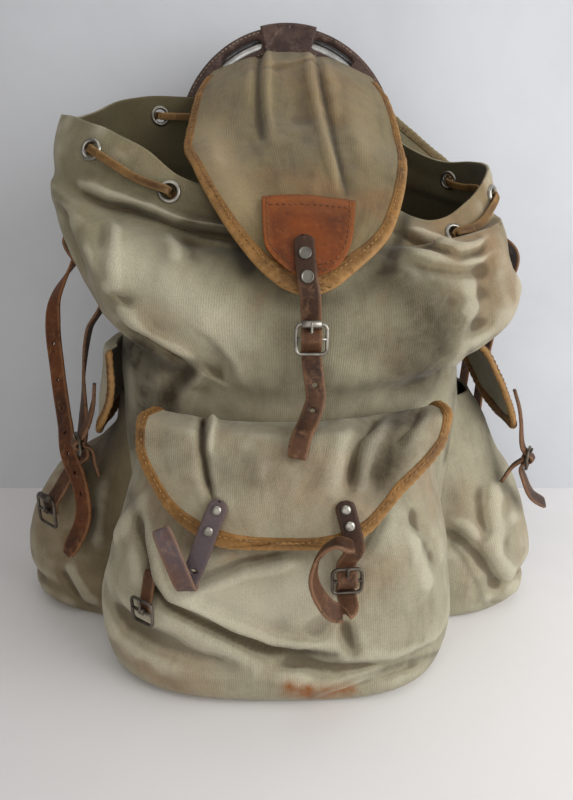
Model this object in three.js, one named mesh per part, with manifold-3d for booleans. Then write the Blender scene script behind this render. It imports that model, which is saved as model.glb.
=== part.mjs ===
// A canvas rucksack on a steel tube frame, with leather trim. Millimetres, +Z up, the front faces -Y.
import * as THREE from "three";
import Module from "manifold-3d";

const wasm = await Module();
wasm.setup();
const { Manifold } = wasm;

// Cloth, leather and clearances
const CANVAS = 2.0; // wall of the bag and its pockets
const FLAP_CANVAS = 1.8; // cloth of the flaps
const LEATHER = 2.4; // straps and patch
const GAP = 0.35; // clearance between separate pieces
const BINDING = { width: 7.5, over: 1.6, skin: 1.2, clear: 0.85 }; // folded leather edging

// Steel frame
const TUBE = { radius: 5, sides: 8 };
const ARCH = { y: 122, z: 371, radius: 86 };
const FRAME = { foot: 104, corner: 30, bow: 14, arcSteps: 12, cornerSteps: 3, barSteps: 6 };
const YOKE = { inner: 77, outer: 99, half: 7, reach: 66, steps: 12 };
const YOKE_SLOT = { inner: 83, outer: 93, from: 14, to: 40, steps: 4 };
const LOOP = { from: -13, to: 15, skin: 1.8, steps: 6 };

// Small metal
const EYELET = { outer: 8, inner: 5.2, half: 2.2, below: 15, sides: 8 };
const CORD = { radius: 2.3, sides: 5, lift: 6.4, liftInside: 8.8, through: 4.4, lean: 0.5, steps: 7 };
const WIRE = 1.5; // half the thickness of buckle wire
const BUCKLE_CORNER = 2.2;
const RIVET = { large: 4, small: 3, sides: 8 };
const HOLE = { radius: 1.7, sides: 5 };

// A table from the names of its columns and a row for each section.
function table(columns, rows) {
  const names = columns.split(" ");
  return rows.map((row) => Object.fromEntries(names.map((name, i) => [name, row[i]])));
}

// The bag from its base to its rim: heights at the four sides, reach to the four sides, squareness
const BAG = table("name zFront zLeft zRight zBack left right front back square", [
  ["base", 0, 0, 0, 0, 112, 110, 56, 80, 3.4],
  ["foot", 9, 9, 9, 9, 132, 130, 74, 92, 3.1],
  ["belly", 70, 80, 78, 72, 136, 137, 82, 97, 2.9],
  ["flank", 132, 168, 156, 140, 127, 133, 86, 98, 2.8],
  ["waist", 190, 238, 214, 200, 128, 134, 90, 98, 2.7],
  ["lip", 206, 256, 232, 222, 141, 158, 98, 98, 2.6],
  ["chest", 238, 290, 264, 262, 158, 167, 106, 97, 2.5],
  ["bust", 264, 318, 292, 305, 168, 163, 101, 95, 2.4],
  ["shoulder", 282, 335, 311, 345, 171, 158, 84, 93, 2.3],
  ["gather", 288, 342, 318, 360, 169, 154, 66, 91, 2.2],
  ["collar", 301, 357, 332, 380, 168, 154, 61, 90, 2.2],
  ["rim", 325, 378, 356, 412, 160, 148, 54, 87, 2.1],
]);
const BAG_GRID = { around: 26, rows: 13, spread: 1.4 };
const BASE_HUB = 24; // how far behind the middle the base's facets meet
const RIM_ROW = BAG.length - 1;

// Folds of the bag: angle from the front towards the right, row of the table, half width and depth
const BAG_FOLDS = [
  { name: "left notch", fromAngle: -95, fromRow: 4.2, toAngle: -48, toRow: 4.1, half: 13, depth: -9 },
  { name: "right notch", fromAngle: 62, fromRow: 4.1, toAngle: 100, toRow: 4.2, half: 13, depth: -8 },
  { name: "shoulder dent", fromAngle: -74, fromRow: 7.6, toAngle: -66, toRow: 5.6, half: 12, depth: -9 },
  { name: "left chest roll", fromAngle: -60, fromRow: 7.4, toAngle: -44, toRow: 5.4, half: 13, depth: 7 },
  { name: "right chest dent", fromAngle: 66, fromRow: 7.2, toAngle: 60, toRow: 5.2, half: 12, depth: -9 },
  { name: "right hip roll", fromAngle: 82, fromRow: 6.2, toAngle: 66, toRow: 5.2, half: 12, depth: 6 },
  { name: "front hollow", fromAngle: -22, fromRow: 5.8, toAngle: -30, toRow: 4.8, half: 14, depth: -8 },
  { name: "left gather", fromAngle: -62, fromRow: 9, toAngle: -40, toRow: 9, half: 8, depth: -5 },
  { name: "back hollow", fromAngle: 176, fromRow: 3, toAngle: 182, toRow: 7, half: 46, depth: -6 },
];
const FOLD_STEP = { perDegree: 2.4, perRow: 30, perFlapRow: 60 }; // millimetres of cloth

// The rim droops at these angles, and stands up where the drop is below zero
const RIM_SAGS = [
  { name: "left front", angle: -70, half: 14, drop: -11, fromRow: 8.5 },
  { name: "right front", angle: 70, half: 15, drop: 31, fromRow: 8 },
  { name: "left back", angle: -114, half: 18, drop: -11, fromRow: 9 },
  { name: "right back", angle: 119, half: 22, drop: 19, fromRow: 9 },
];

// Pockets: height, dip of the middle, reach to each side and outwards, squareness. Row one closes the base.
const FRONT_POCKET = table("name z dip left right out square", [
  ["seam", 0, 0, 70, 62, 48, 2.4],
  ["base", 0, 0, 124, 110, 140, 2.9],
  ["foot", 10, 0, 136, 121, 152, 3.0],
  ["low", 34, 0, 139, 124, 155, 3.0],
  ["sag", 74, 0, 133, 121, 153, 2.8],
  ["swell", 106, 2, 122, 115, 149, 2.7],
  ["upper", 142, 9, 111, 109, 134, 2.5],
  ["mouth", 180, 18, 99, 106, 113, 2.4],
]);
// The side pockets are as wide to both sides and don't dip
const SIDE_POCKET = table("name z half outLeft outRight square", [
  ["seam", 0, 34, 90, 90, 2.3],
  ["base", 0, 64, 198, 188, 2.6],
  ["foot", 14, 72, 218, 206, 2.6],
  ["low", 42, 73, 222, 210, 2.6],
  ["swell", 76, 71, 215, 203, 2.5],
  ["upper", 106, 67, 198, 190, 2.4],
  ["neck", 132, 62, 158, 173, 2.3],
  ["throat", 158, 56, 138, 161, 2.2],
  ["mouth", 180, 50, 134, 148, 2.2],
]);
const POCKET_FOLDS = [
  { name: "sag crease left", fromAngle: -64, fromRow: 3.5, toAngle: -12, toRow: 3.0, half: 7, depth: -9 },
  { name: "sag crease right", fromAngle: -12, fromRow: 3.0, toAngle: 58, toRow: 2.7, half: 7, depth: -7 },
  { name: "left corner roll", fromAngle: -66, fromRow: 4.5, toAngle: -50, toRow: 6, half: 9, depth: 6 },
  { name: "right dent", fromAngle: 52, fromRow: 4.2, toAngle: 46, toRow: 5.8, half: 10, depth: -6 },
];
const SIDE_FOLDS = [
  { name: "outer dent", fromAngle: -8, fromRow: 3.2, toAngle: 10, toRow: 5, half: 12, depth: -8 },
  { name: "low crease", fromAngle: -50, fromRow: 2.6, toAngle: 40, toRow: 2.4, half: 7, depth: -5 },
];

// Pocket flaps from seam to hem: height, dip of the middle, reach, depth and width of the curve, cut edges
const FRONT_FLAP = table("name z dip out root wide left right", [
  ["seam", 190, 14, 86, 60, 130, 84, 98],
  ["top", 199, 18, 106, 64, 130, 88, 102],
  ["bend", 195, 13, 127, 62, 130, 93, 105],
  ["face", 176, 5, 143, 58, 128, 92, 98],
  ["low", 146, 0, 154, 54, 126, 76, 64],
  ["hem", 122, 0, 158, 50, 125, 50, 46],
]);
const LEFT_FLAP = table("name z out root wide left right", [
  ["seam", 224, 126, 96, 76, 44, 52],
  ["top", 220, 137, 88, 76, 46, 58],
  ["slope", 196, 142, 84, 76, 48, 62],
  ["face", 172, 146, 84, 76, 44, 58],
  ["hem", 150, 149, 88, 76, 28, 38],
]);
const RIGHT_FLAP = table("name z out root wide left right", [
  ["seam", 224, 128, 112, 74, 44, 44],
  ["top", 220, 146, 114, 74, 46, 46],
  ["slope", 196, 164, 114, 74, 48, 48],
  ["face", 172, 176, 112, 74, 44, 44],
  ["hem", 150, 182, 110, 74, 28, 28],
]);

// The top flap from the arch to its tip: run of its middle, fall of its sides, cut edges
const TOP_FLAP = [
  { name: "arch", y: 111.7, z: 448, fall: 26, tuck: 2, left: 64, right: 74 },
  { name: "saddle", y: 62, z: 424, fall: 24, tuck: 6, left: 73, right: 84 },
  { name: "cover", y: 4, z: 381, fall: 22, tuck: 6, left: 74, right: 86 },
  { name: "rim", y: -50, z: 347, fall: 14, tuck: 4, left: 60, right: 79 },
  { name: "front", y: -96, z: 304, fall: 10, tuck: 10, left: 34, right: 62 },
  { name: "low", y: -110, z: 280, fall: 4, tuck: 12, left: 14, right: 40 },
  { name: "tip", y: -114, z: 266, fall: 2, tuck: 6, left: -4, right: 22 },
];
const TOP_FLAP_SPREAD = 84;
const TOP_FOLDS = [
  { name: "left pleat", fromSide: -22, fromRow: 0, toSide: -26, toRow: 1.6, half: 7, depth: 5 },
  { name: "right pleat", fromSide: 24, fromRow: 0.1, toSide: 50, toRow: 2.8, half: 9, depth: 6 },
  { name: "middle hollow", fromSide: 0, fromRow: 0.6, toSide: 12, toRow: 2.4, half: 16, depth: -5 },
];
const PATCH = [
  { name: "top", row: 3.6, left: 15, right: 42 },
  { name: "middle", row: 4.35, left: 13, right: 37 },
  { name: "low", row: 4.95, left: 0, right: 28 },
  { name: "tip", row: 5.3, left: -8, right: 18 },
];

// The back panel between the bag and the arch: run of its middle, forward curve and fall of its sides
const BACK_PANEL = [
  { name: "seam", z: 336, y: 88, bow: 34, fall: 0, half: 139 },
  { name: "low", z: 352, y: 97, bow: 31, fall: 2, half: 139 },
  { name: "middle", z: 384, y: 105, bow: 13, fall: 8, half: 117 },
  { name: "upper", z: 420, y: 111, bow: 3, fall: 16, half: 86 },
  { name: "arch", z: 444, y: 113.4, bow: 0, fall: 22, half: 66 },
];

const EYELET_ANGLES = [-16, -56, -74, -99, -124, -152, 160, 134, 110, 84, 70, 32];

const point = (x, y, z) => new THREE.Vector3(x, y, z);
const rad = THREE.MathUtils.degToRad;
const clamp = THREE.MathUtils.clamp;

// A value between the rows of a column, with no overshoot past them.
function between(before, low, high, after, t) {
  const slope = (a, b) => (a * b > 0 ? (2 * a * b) / (a + b) : 0);
  const rise = high - low;
  const start = slope(low - before, rise);
  const end = slope(rise, after - high);
  const t2 = t * t;
  const t3 = t2 * t;
  return low + start * (t3 - 2 * t2 + t) + rise * (3 * t2 - 2 * t3) + end * (t3 - t2);
}

// The row of a table at a fractional place.
function rowAt(table, place) {
  const last = table.length - 1;
  const i = clamp(Math.floor(place), 0, last - 1);
  const row = {};
  for (const column of Object.keys(table[0]).filter((key) => key !== "name")) {
    const near = [i - 1, i, i + 1, i + 2].map((k) => table[clamp(k, 0, last)][column]);
    if (i === 0) near[0] = 2 * near[1] - near[2];
    if (i === last - 1) near[3] = 2 * near[2] - near[1];
    row[column] = between(...near, place - i);
  }
  return row;
}

// How far a set of folds moves the cloth at a place; `a` and `b` are the two coordinates in millimetres.
function foldPush(folds, a, b, toMm) {
  let push = 0;
  for (const fold of folds) {
    const [fromA, fromB, toA, toB] = toMm(fold);
    const runA = toA - fromA;
    const runB = toB - fromB;
    const along = clamp(((a - fromA) * runA + (b - fromB) * runB) / (runA * runA + runB * runB), 0, 1);
    const away = Math.hypot(a - fromA - along * runA, b - fromB - along * runB);
    push += fold.depth * Math.exp(-((away / fold.half) ** 2));
  }
  return push;
}

const turnFold = (fold) => [
  fold.fromAngle * FOLD_STEP.perDegree,
  fold.fromRow * FOLD_STEP.perRow,
  fold.toAngle * FOLD_STEP.perDegree,
  fold.toRow * FOLD_STEP.perRow,
];

const squareRadius = (across, ahead, side, face, square) =>
  (Math.abs(across / side) ** square + Math.abs(ahead / face) ** square) ** (-1 / square);

// A point of the bag's outer surface, by the angle from its front and the row of its table.
function bagPoint(angle, place) {
  const row = rowAt(BAG, place);
  const across = Math.sin(rad(angle));
  const ahead = Math.cos(rad(angle));
  const side = across > 0 ? row.right : row.left;
  const face = ahead > 0 ? row.front : row.back;
  const turn = ((angle + 540) % 360) - 180;
  const turns = turn < -90 ? [turn, turn + 360] : [turn];
  let radius = squareRadius(across, ahead, side, face, row.square);
  const share = ((radius * across) / side) ** 2;
  for (const a of turns) {
    radius += foldPush(BAG_FOLDS, a * FOLD_STEP.perDegree, place * FOLD_STEP.perRow, turnFold);
  }
  const zFace = ahead > 0 ? row.zFront : row.zBack;
  const zSide = across > 0 ? row.zRight : row.zLeft;
  let height = (1 - share) * zFace + share * zSide;
  for (const sag of RIM_SAGS) {
    const depth = clamp((place - sag.fromRow) / (RIM_ROW - sag.fromRow), 0, 1);
    height -= sag.drop * depth * Math.exp(-(((turn - sag.angle) / sag.half) ** 2));
  }
  return point(radius * across, -radius * ahead, height);
}

// Grids of points, and the closed solids made from them

function range(from, to, steps) {
  return Array.from({ length: steps + 1 }, (_, i) => from + ((to - from) * i) / steps);
}
const gridOf = (rows, columns, at) => rows.map((r) => columns.map((c) => at(c, r)));

function gridNormals(grid, around) {
  return grid.map((row, i) =>
    row.map((_, j) => {
      const count = row.length;
      const next = around ? (j + 1) % count : Math.min(j + 1, count - 1);
      const before = around ? (j + count - 1) % count : Math.max(j - 1, 0);
      const up = grid[Math.min(i + 1, grid.length - 1)][j].clone().sub(grid[Math.max(i - 1, 0)][j]);
      return row[next].clone().sub(row[before]).cross(up).normalize();
    }),
  );
}

function offsetGrid(grid, distance, around = false) {
  const normals = gridNormals(grid, around);
  return grid.map((row, i) => row.map((p, j) => p.clone().addScaledVector(normals[i][j], distance)));
}

function solidFrom(points, faces) {
  let volume = 0;
  for (const [a, b, c] of faces) volume += points[a].dot(points[b].clone().cross(points[c]));
  const turned = volume < 0 ? faces.map(([a, b, c]) => [a, c, b]) : faces;
  const vertProperties = Float32Array.from(points.flatMap((p) => [p.x, p.y, p.z]));
  const triVerts = Uint32Array.from(turned.flat());
  return new Manifold(new wasm.Mesh({ numProp: 3, vertProperties, triVerts }));
}

// The solid between two matching grids. `around` closes each row, `floor` caps the first rows.
function gridSolid(outer, inner, { around = false, floor = false } = {}) {
  const rows = outer.length;
  const columns = outer[0].length;
  const points = [...outer.flat(), ...inner.flat()];
  const faces = [];
  const at = (side, i, j) => side * rows * columns + i * columns + (j % columns);
  const quad = (a, b, c, d) => faces.push([a, b, c], [a, c, d]);
  const spans = around ? columns : columns - 1;
  for (let i = 0; i < rows - 1; i += 1) {
    for (let j = 0; j < spans; j += 1) {
      quad(at(0, i, j), at(0, i, j + 1), at(0, i + 1, j + 1), at(0, i + 1, j));
      quad(at(1, i, j + 1), at(1, i, j), at(1, i + 1, j), at(1, i + 1, j + 1));
    }
    if (!around) {
      quad(at(0, i + 1, 0), at(1, i + 1, 0), at(1, i, 0), at(0, i, 0));
      quad(at(0, i, spans), at(1, i, spans), at(1, i + 1, spans), at(0, i + 1, spans));
    }
  }
  for (let j = 0; j < spans; j += 1) {
    quad(at(0, rows - 1, j), at(0, rows - 1, j + 1), at(1, rows - 1, j + 1), at(1, rows - 1, j));
    if (!floor) quad(at(0, 0, j + 1), at(0, 0, j), at(1, 0, j), at(1, 0, j + 1));
  }
  if (floor) {
    for (const side of [0, 1]) {
      const middle = points.push(point(0, BASE_HUB, outer[0][0].z + side * CANVAS)) - 1;
      for (let j = 0; j < spans; j += 1) {
        const edge = [at(side, 0, j), at(side, 0, j + 1)];
        faces.push(side ? [middle, edge[0], edge[1]] : [middle, edge[1], edge[0]]);
      }
    }
  }
  return solidFrom(points, faces);
}

// A stack of closed rings, capped at both ends. `outline` is the flat shape of a ring that isn't convex.
function ringSolid(rings, outline) {
  const count = rings[0].length;
  const points = rings.flat();
  const faces = [];
  const at = (i, j) => i * count + (j % count);
  for (let i = 0; i < rings.length - 1; i += 1) {
    for (let j = 0; j < count; j += 1) {
      faces.push([at(i, j), at(i, j + 1), at(i + 1, j + 1)], [at(i, j), at(i + 1, j + 1), at(i + 1, j)]);
    }
  }
  for (const [i, turn] of [[0, 1], [rings.length - 1, 0]]) {
    if (outline) {
      for (const [a, b, c] of THREE.ShapeUtils.triangulateShape(outline, [])) {
        faces.push(turn ? [at(i, a), at(i, c), at(i, b)] : [at(i, a), at(i, b), at(i, c)]);
      }
      continue;
    }
    const middle = rings[i].reduce((sum, p) => sum.add(p), point(0, 0, 0)).divideScalar(count);
    const hub = points.push(middle) - 1;
    for (let j = 0; j < count; j += 1) faces.push([hub, at(i, j + turn), at(i, j + 1 - turn)]);
  }
  return solidFrom(points, faces);
}

// A round bar along a list of points; `closed` joins its end to its start.
function barSolid(path, radius, sides, closed, level) {
  const count = path.length;
  const rings = path.map((p, i) => {
    const next = closed ? path[(i + 1) % count] : path[Math.min(i + 1, count - 1)];
    const before = closed ? path[(i + count - 1) % count] : path[Math.max(i - 1, 0)];
    const along = next.clone().sub(before).normalize();
    const lift = level(i).clone().addScaledVector(along, -level(i).dot(along)).normalize();
    const side = along.clone().cross(lift);
    return range(0, 360, sides).slice(0, sides).map((turn) => {
      const up = radius * Math.cos(rad(turn));
      const across = radius * Math.sin(rad(turn));
      return p.clone().addScaledVector(lift, up).addScaledVector(side, across);
    });
  });
  if (!closed) return ringSolid(rings);
  const faces = [];
  const at = (i, j) => (i % count) * sides + (j % sides);
  for (let i = 0; i < count; i += 1) {
    for (let j = 0; j < sides; j += 1) {
      faces.push([at(i, j), at(i, j + 1), at(i + 1, j + 1)], [at(i, j), at(i + 1, j + 1), at(i + 1, j)]);
    }
  }
  return solidFrom(rings.flat(), faces);
}

function fromGeometry(geometry, matrix) {
  const copy = geometry.clone();
  if (matrix) copy.applyMatrix4(matrix);
  const seen = new Map();
  const points = [];
  const place = copy.attributes.position;
  const index = copy.index ? [...copy.index.array] : range(0, place.count - 1, place.count - 1);
  const ids = index.map((i) => {
    const p = point(place.getX(i), place.getY(i), place.getZ(i));
    const key = [p.x, p.y, p.z].map((v) => Math.round(v * 1000)).join(",");
    if (!seen.has(key)) seen.set(key, points.push(p) - 1);
    return seen.get(key);
  });
  const faces = [];
  for (let i = 0; i < ids.length; i += 3) {
    const [a, b, c] = ids.slice(i, i + 3);
    if (a !== b && b !== c && c !== a) faces.push([a, b, c]);
  }
  return solidFrom(points, faces);
}

function toGeometry(solid) {
  const mesh = solid.getMesh();
  const geometry = new THREE.BufferGeometry();
  geometry.setAttribute("position", new THREE.BufferAttribute(mesh.vertProperties, 3));
  geometry.setIndex(new THREE.BufferAttribute(mesh.triVerts, 1));
  const flat = geometry.toNonIndexed();
  flat.computeVertexNormals();
  return flat;
}

// Materials and the group of named pieces

function surface(color, roughness, metalness = 0) {
  return new THREE.MeshStandardMaterial({ color, roughness, metalness });
}
const canvas = surface(0x75705a, 0.95);
const trim = surface(0x8a5a2e, 0.75);
const strapLeather = surface(0x4f3523, 0.7);
const steel = surface(0xb9babb, 0.35, 1);
const pack = new THREE.Group();

function add(name, solid, material) {
  const mesh = new THREE.Mesh(toGeometry(solid), material);
  mesh.name = name;
  pack.add(mesh);
}

// The bag: one sewn wall, closed below and open at the collar

// Angles round the bag, closer together at its narrow ends.
const aroundAngles = range(-180, 180, BAG_GRID.around)
  .slice(0, BAG_GRID.around)
  .map((turn) => Math.atan2(BAG_GRID.spread * Math.sin(rad(turn)), Math.cos(rad(turn))))
  .map(THREE.MathUtils.radToDeg);
const bagGrid = gridOf(range(0, RIM_ROW, BAG_GRID.rows), aroundAngles, bagPoint);
const bagInside = offsetGrid(bagGrid, -CANVAS, true);
bagInside[0].forEach((p) => p.setZ(CANVAS));
const bagHull = ringSolid(offsetGrid(bagGrid, GAP, true));

// The middle of the bag's wall at a place, the way it faces and the way round the bag.
function wallAt(angle, place) {
  const along = bagPoint(angle + 2, place).sub(bagPoint(angle - 2, place)).normalize();
  const up = bagPoint(angle, place + 0.15).sub(bagPoint(angle, place - 0.15));
  const facing = along.clone().cross(up).normalize();
  return { at: bagPoint(angle, place).addScaledVector(facing, -CANVAS / 2), facing, along };
}

// Where an eyelet sits on the collar.
function eyeletSeat(angle) {
  const rim = bagPoint(angle, RIM_ROW);
  let place = RIM_ROW;
  while (bagPoint(angle, place).distanceTo(rim) < EYELET.below) place -= 0.02;
  return { angle, place, ...wallAt(angle, place) };
}

const eyelets = EYELET_ANGLES.map(eyeletSeat);
const facingTurn = (seat) => {
  const turn = new THREE.Quaternion().setFromUnitVectors(point(0, 1, 0), seat.facing);
  return new THREE.Matrix4().compose(seat.at, turn, point(1, 1, 1));
};
let bagBody = gridSolid(bagGrid, bagInside, { around: true, floor: true });
const eyeletHole = new THREE.CylinderGeometry(
  EYELET.outer + GAP, EYELET.outer + GAP, 2 * EYELET.outer, EYELET.sides);
for (const seat of eyelets) bagBody = bagBody.subtract(fromGeometry(eyeletHole, facingTurn(seat)));
add("bag_body", bagBody, canvas);

const eyeletRing = new THREE.LatheGeometry(
  [
    [EYELET.inner, -EYELET.half],
    [EYELET.outer, 0],
    [EYELET.inner, EYELET.half],
    [EYELET.inner, -EYELET.half],
  ].map(([r, h]) => new THREE.Vector2(r, h)),
  EYELET.sides,
);
eyelets.forEach((seat, i) => {
  add(`eyelet_${String(i + 1).padStart(2, "0")}`, fromGeometry(eyeletRing, facingTurn(seat)), steel);
});

// The drawcord: a thong laced out and in through the eyelets, closed on itself under the top flap

// How far the thong droops along an outer stretch
const CORD_SPAN = [
  { share: 0.3, droop: 3 },
  { share: 0.5, droop: 4.2 },
  { share: 0.7, droop: 3 },
];

function cordPath() {
  const knots = [];
  eyelets.forEach((seat, i) => {
    const next = eyelets[(i + 1) % eyelets.length];
    const outside = i % 2 === 1;
    const away = outside ? 1 : -1;
    const lift = outside ? CORD.lift : CORD.liftInside;
    const span = (((next.angle - seat.angle) % 360) - 360) % 360;
    const through = ({ at, facing, along }, ahead) =>
      at.clone().addScaledVector(facing, away * CORD.through).addScaledVector(along, -ahead);
    knots.push(through(seat, CORD.lean));
    for (const { share, droop } of CORD_SPAN) {
      const wall = wallAt(seat.angle + span * share, seat.place + (next.place - seat.place) * share);
      wall.at.z -= outside ? droop : 0;
      knots.push(wall.at.addScaledVector(wall.facing, away * lift));
    }
    knots.push(through(next, -CORD.lean));
  });
  const curve = new THREE.CatmullRomCurve3(knots, true, "centripetal");
  return curve.getPoints(eyelets.length * CORD.steps).slice(0, -1);
}
add("drawcord", barSolid(cordPath(), CORD.radius, CORD.sides, true, () => point(0, 0, 1)), trim);

// Pockets: half round pouches that end on the bag's wall

const FRONT_SIDE = { across: point(1, 0, 0), out: point(0, -1, 0) };
const LEFT_SIDE = { across: point(0, -1, 0), out: point(-1, 0, 0) };
const RIGHT_SIDE = { across: point(0, 1, 0), out: point(1, 0, 0) };
const sidePlace = (side, across, out, z) =>
  point(0, 0, z).addScaledVector(side.across, across).addScaledVector(side.out, out);

// A point of a pouch by its angle and row. Past the half turn its edge goes straight back into the bag.
function pouchPoint({ rows, folds, root, side, shift }, angle, place) {
  const row = rowAt(rows, place);
  const turn = clamp(angle, -90, 90);
  const across = Math.sin(rad(turn));
  const ahead = Math.cos(rad(turn));
  const reach = Math.max(row.out - root, 1);
  let radius = squareRadius(across, ahead, across > 0 ? row.right : row.left, reach, row.square);
  radius += foldPush(folds, turn * FOLD_STEP.perDegree, place * FOLD_STEP.perRow, turnFold);
  const behind = (Math.abs(angle) - Math.abs(turn)) * POUCH_TAIL;
  const z = row.z - row.dip * ahead * ahead;
  return sidePlace(side, shift + radius * across, root + radius * ahead - behind, z);
}

function pouchGrid(setting) {
  const places = range(0, setting.rows.length - 1, setting.steps);
  const angles = range(-100, 100, setting.columns);
  return gridOf(places, angles, (angle, place) => pouchPoint(setting, angle, place));
}

function pouch(setting) {
  const grid = pouchGrid(setting);
  const inside = offsetGrid(grid, -CANVAS);
  grid.flat().forEach((p) => p.setZ(Math.max(p.z, 0)));
  inside.flat().forEach((p) => p.setZ(Math.max(p.z, CANVAS * 0.9)));
  return gridSolid(grid, inside).subtract(bagHull);
}

const POUCH_TAIL = 1.4; // millimetres back for each degree past the half turn
const sideRows = (reach) =>
  SIDE_POCKET.map((row) => ({ ...row, dip: 0, left: row.half, right: row.half, out: row[reach] }));
const sidePouch = { folds: SIDE_FOLDS, columns: 8, steps: 11 };
const frontPocket = {
  rows: FRONT_POCKET, folds: POCKET_FOLDS, side: FRONT_SIDE, root: 40, shift: 0, columns: 14, steps: 11 };
const leftPocket = { ...sidePouch, rows: sideRows("outLeft"), side: LEFT_SIDE, root: 96, shift: -8 };
const rightPocket = { ...sidePouch, rows: sideRows("outRight"), side: RIGHT_SIDE, root: 94, shift: 8 };
const frontHull = ringSolid(offsetGrid(pouchGrid(frontPocket), GAP));
add("front_pocket", pouch(frontPocket), canvas);
add("side_pocket_left", pouch(leftPocket).subtract(frontHull), canvas);
add("side_pocket_right", pouch(rightPocket).subtract(frontHull), canvas);

// Sheets: cloth or leather on a surface known by its side step and its row

// A point of a sheet moved out from its face.
function lifted(sheet, x, place, lift) {
  const along = sheet.at(x + 1, place).sub(sheet.at(x - 1, place));
  const run = sheet.at(x, place + 0.02).sub(sheet.at(x, place - 0.02));
  return sheet.at(x, place).addScaledVector(run.cross(along).normalize(), lift);
}

// The sheet's middle surface, with its columns closer together near the cut edges.
function sheetGrid(sheet, rows, columns) {
  const shares = range(0, 180, columns).map((turn) => (1 - Math.cos(rad(turn))) / 2);
  return range(0, sheet.last, rows).map((place) => {
    const left = -sheet.left(place);
    const width = sheet.right(place) - left;
    return shares.map((share) => sheet.at(left + share * width, place));
  });
}

function sheetSolid(sheet, thickness, rows, columns) {
  const grid = sheetGrid(sheet, rows, columns);
  return gridSolid(offsetGrid(grid, -thickness / 2), offsetGrid(grid, thickness / 2));
}

function tableSheet(rows, at) {
  return {
    at,
    last: rows.length - 1,
    left: (place) => rowAt(rows, place).left,
    right: (place) => rowAt(rows, place).right,
  };
}

// The cut edge of a sheet from its first row down the left, along the hem and up the right.
function sheetBorder(sheet, rows, hem, from) {
  const down = range(0, sheet.last, rows).filter((place) => place > from);
  const across = range(-sheet.left(sheet.last), sheet.right(sheet.last), hem).slice(1, -1);
  return [
    ...down.map((place) => ({ x: -sheet.left(place), place })),
    ...across.map((x) => ({ x, place: sheet.last })),
    ...down.reverse().map((place) => ({ x: sheet.right(place), place })),
  ];
}

// The sheet coordinates reached by a small step along its face.
function stepOnSheet(sheet, { x, place }, step) {
  const along = sheet.at(x + 0.5, place).sub(sheet.at(x - 0.5, place));
  const run = sheet.at(x, place + 0.01).sub(sheet.at(x, place - 0.01)).multiplyScalar(50);
  const aa = along.dot(along);
  const bb = run.dot(run);
  const ab = along.dot(run);
  const det = aa * bb - ab * ab;
  const sa = step.dot(along);
  const sb = step.dot(run);
  return { x: x + (sa * bb - sb * ab) / det, place: place + (sb * aa - sa * ab) / det };
}

// Leather folded over a sheet's edge: a strip on each face, joined round the edge.
function bindingSolid(sheet, border) {
  const middle = sheet.at((sheet.right(1) - sheet.left(1)) / 2, sheet.last * 0.5);
  const slot = FLAP_CANVAS / 2 + BINDING.clear;
  const half = slot + BINDING.skin;
  const edge = -BINDING.clear;
  const { width, over } = BINDING;
  const lower = [[-over, -half], [width, -half], [width, -slot], [edge, -slot]];
  const upper = lower.map(([reach, lift]) => [reach, -lift]).reverse();
  const section = [...lower, ...upper];
  const rings = border.map((spot, i) => {
    const here = sheet.at(spot.x, spot.place);
    const next = border[Math.min(i + 1, border.length - 1)];
    const before = border[Math.max(i - 1, 0)];
    const along = sheet.at(next.x, next.place).sub(sheet.at(before.x, before.place)).normalize();
    const out = lifted(sheet, spot.x, spot.place, 1).sub(here);
    const inward = along.clone().cross(out).normalize();
    if (inward.dot(middle.clone().sub(here)) < 0) inward.negate();
    return section.map(([reach, lift]) => {
      const s = stepOnSheet(sheet, spot, inward.clone().multiplyScalar(reach));
      return lifted(sheet, s.x, s.place, lift);
    });
  });
  return ringSolid(rings, section.map(([reach, lift]) => new THREE.Vector2(reach, lift)));
}

// How far a pocket flap stands out at a side step: it rounds off towards its root.
const FLAP_SQUARE = 2.4;
const curveOut = (x, { root, wide }, out) =>
  root + (out - root) * (1 - Math.abs(x / wide) ** FLAP_SQUARE) ** (1 / FLAP_SQUARE);

const frontFlap = tableSheet(FRONT_FLAP, (x, place) => {
  const row = rowAt(FRONT_FLAP, place);
  const dip = row.dip * (1 - (x / row.wide) ** 2);
  return sidePlace(FRONT_SIDE, x, curveOut(x, row, row.out), row.z - dip);
});
const sideFlap = (rows, side, shift) =>
  tableSheet(rows, (x, place) => {
    const row = rowAt(rows, place);
    return sidePlace(side, shift + x, curveOut(x, row, row.out), row.z);
  });
const leftFlap = sideFlap(LEFT_FLAP, LEFT_SIDE, 2);
const rightFlap = sideFlap(RIGHT_FLAP, RIGHT_SIDE, -2);

function addPocketFlap(name, sheet, rows, columns, border) {
  add(name, sheetSolid(sheet, FLAP_CANVAS, rows, columns).subtract(bagHull), canvas);
  const clear = sheetSolid(sheet, FLAP_CANVAS + GAP, rows, columns);
  add(`${name}_binding`, bindingSolid(sheet, border).subtract(bagHull).subtract(clear), trim);
}
addPocketFlap("front_pocket_flap", frontFlap, 9, 8, sheetBorder(frontFlap, 9, 4, 0.6));
addPocketFlap("side_pocket_flap_left", leftFlap, 6, 6, sheetBorder(leftFlap, 6, 4, 0.9));
addPocketFlap("side_pocket_flap_right", rightFlap, 6, 6, sheetBorder(rightFlap, 6, 4, 0.9));

// The top flap and its patch

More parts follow.
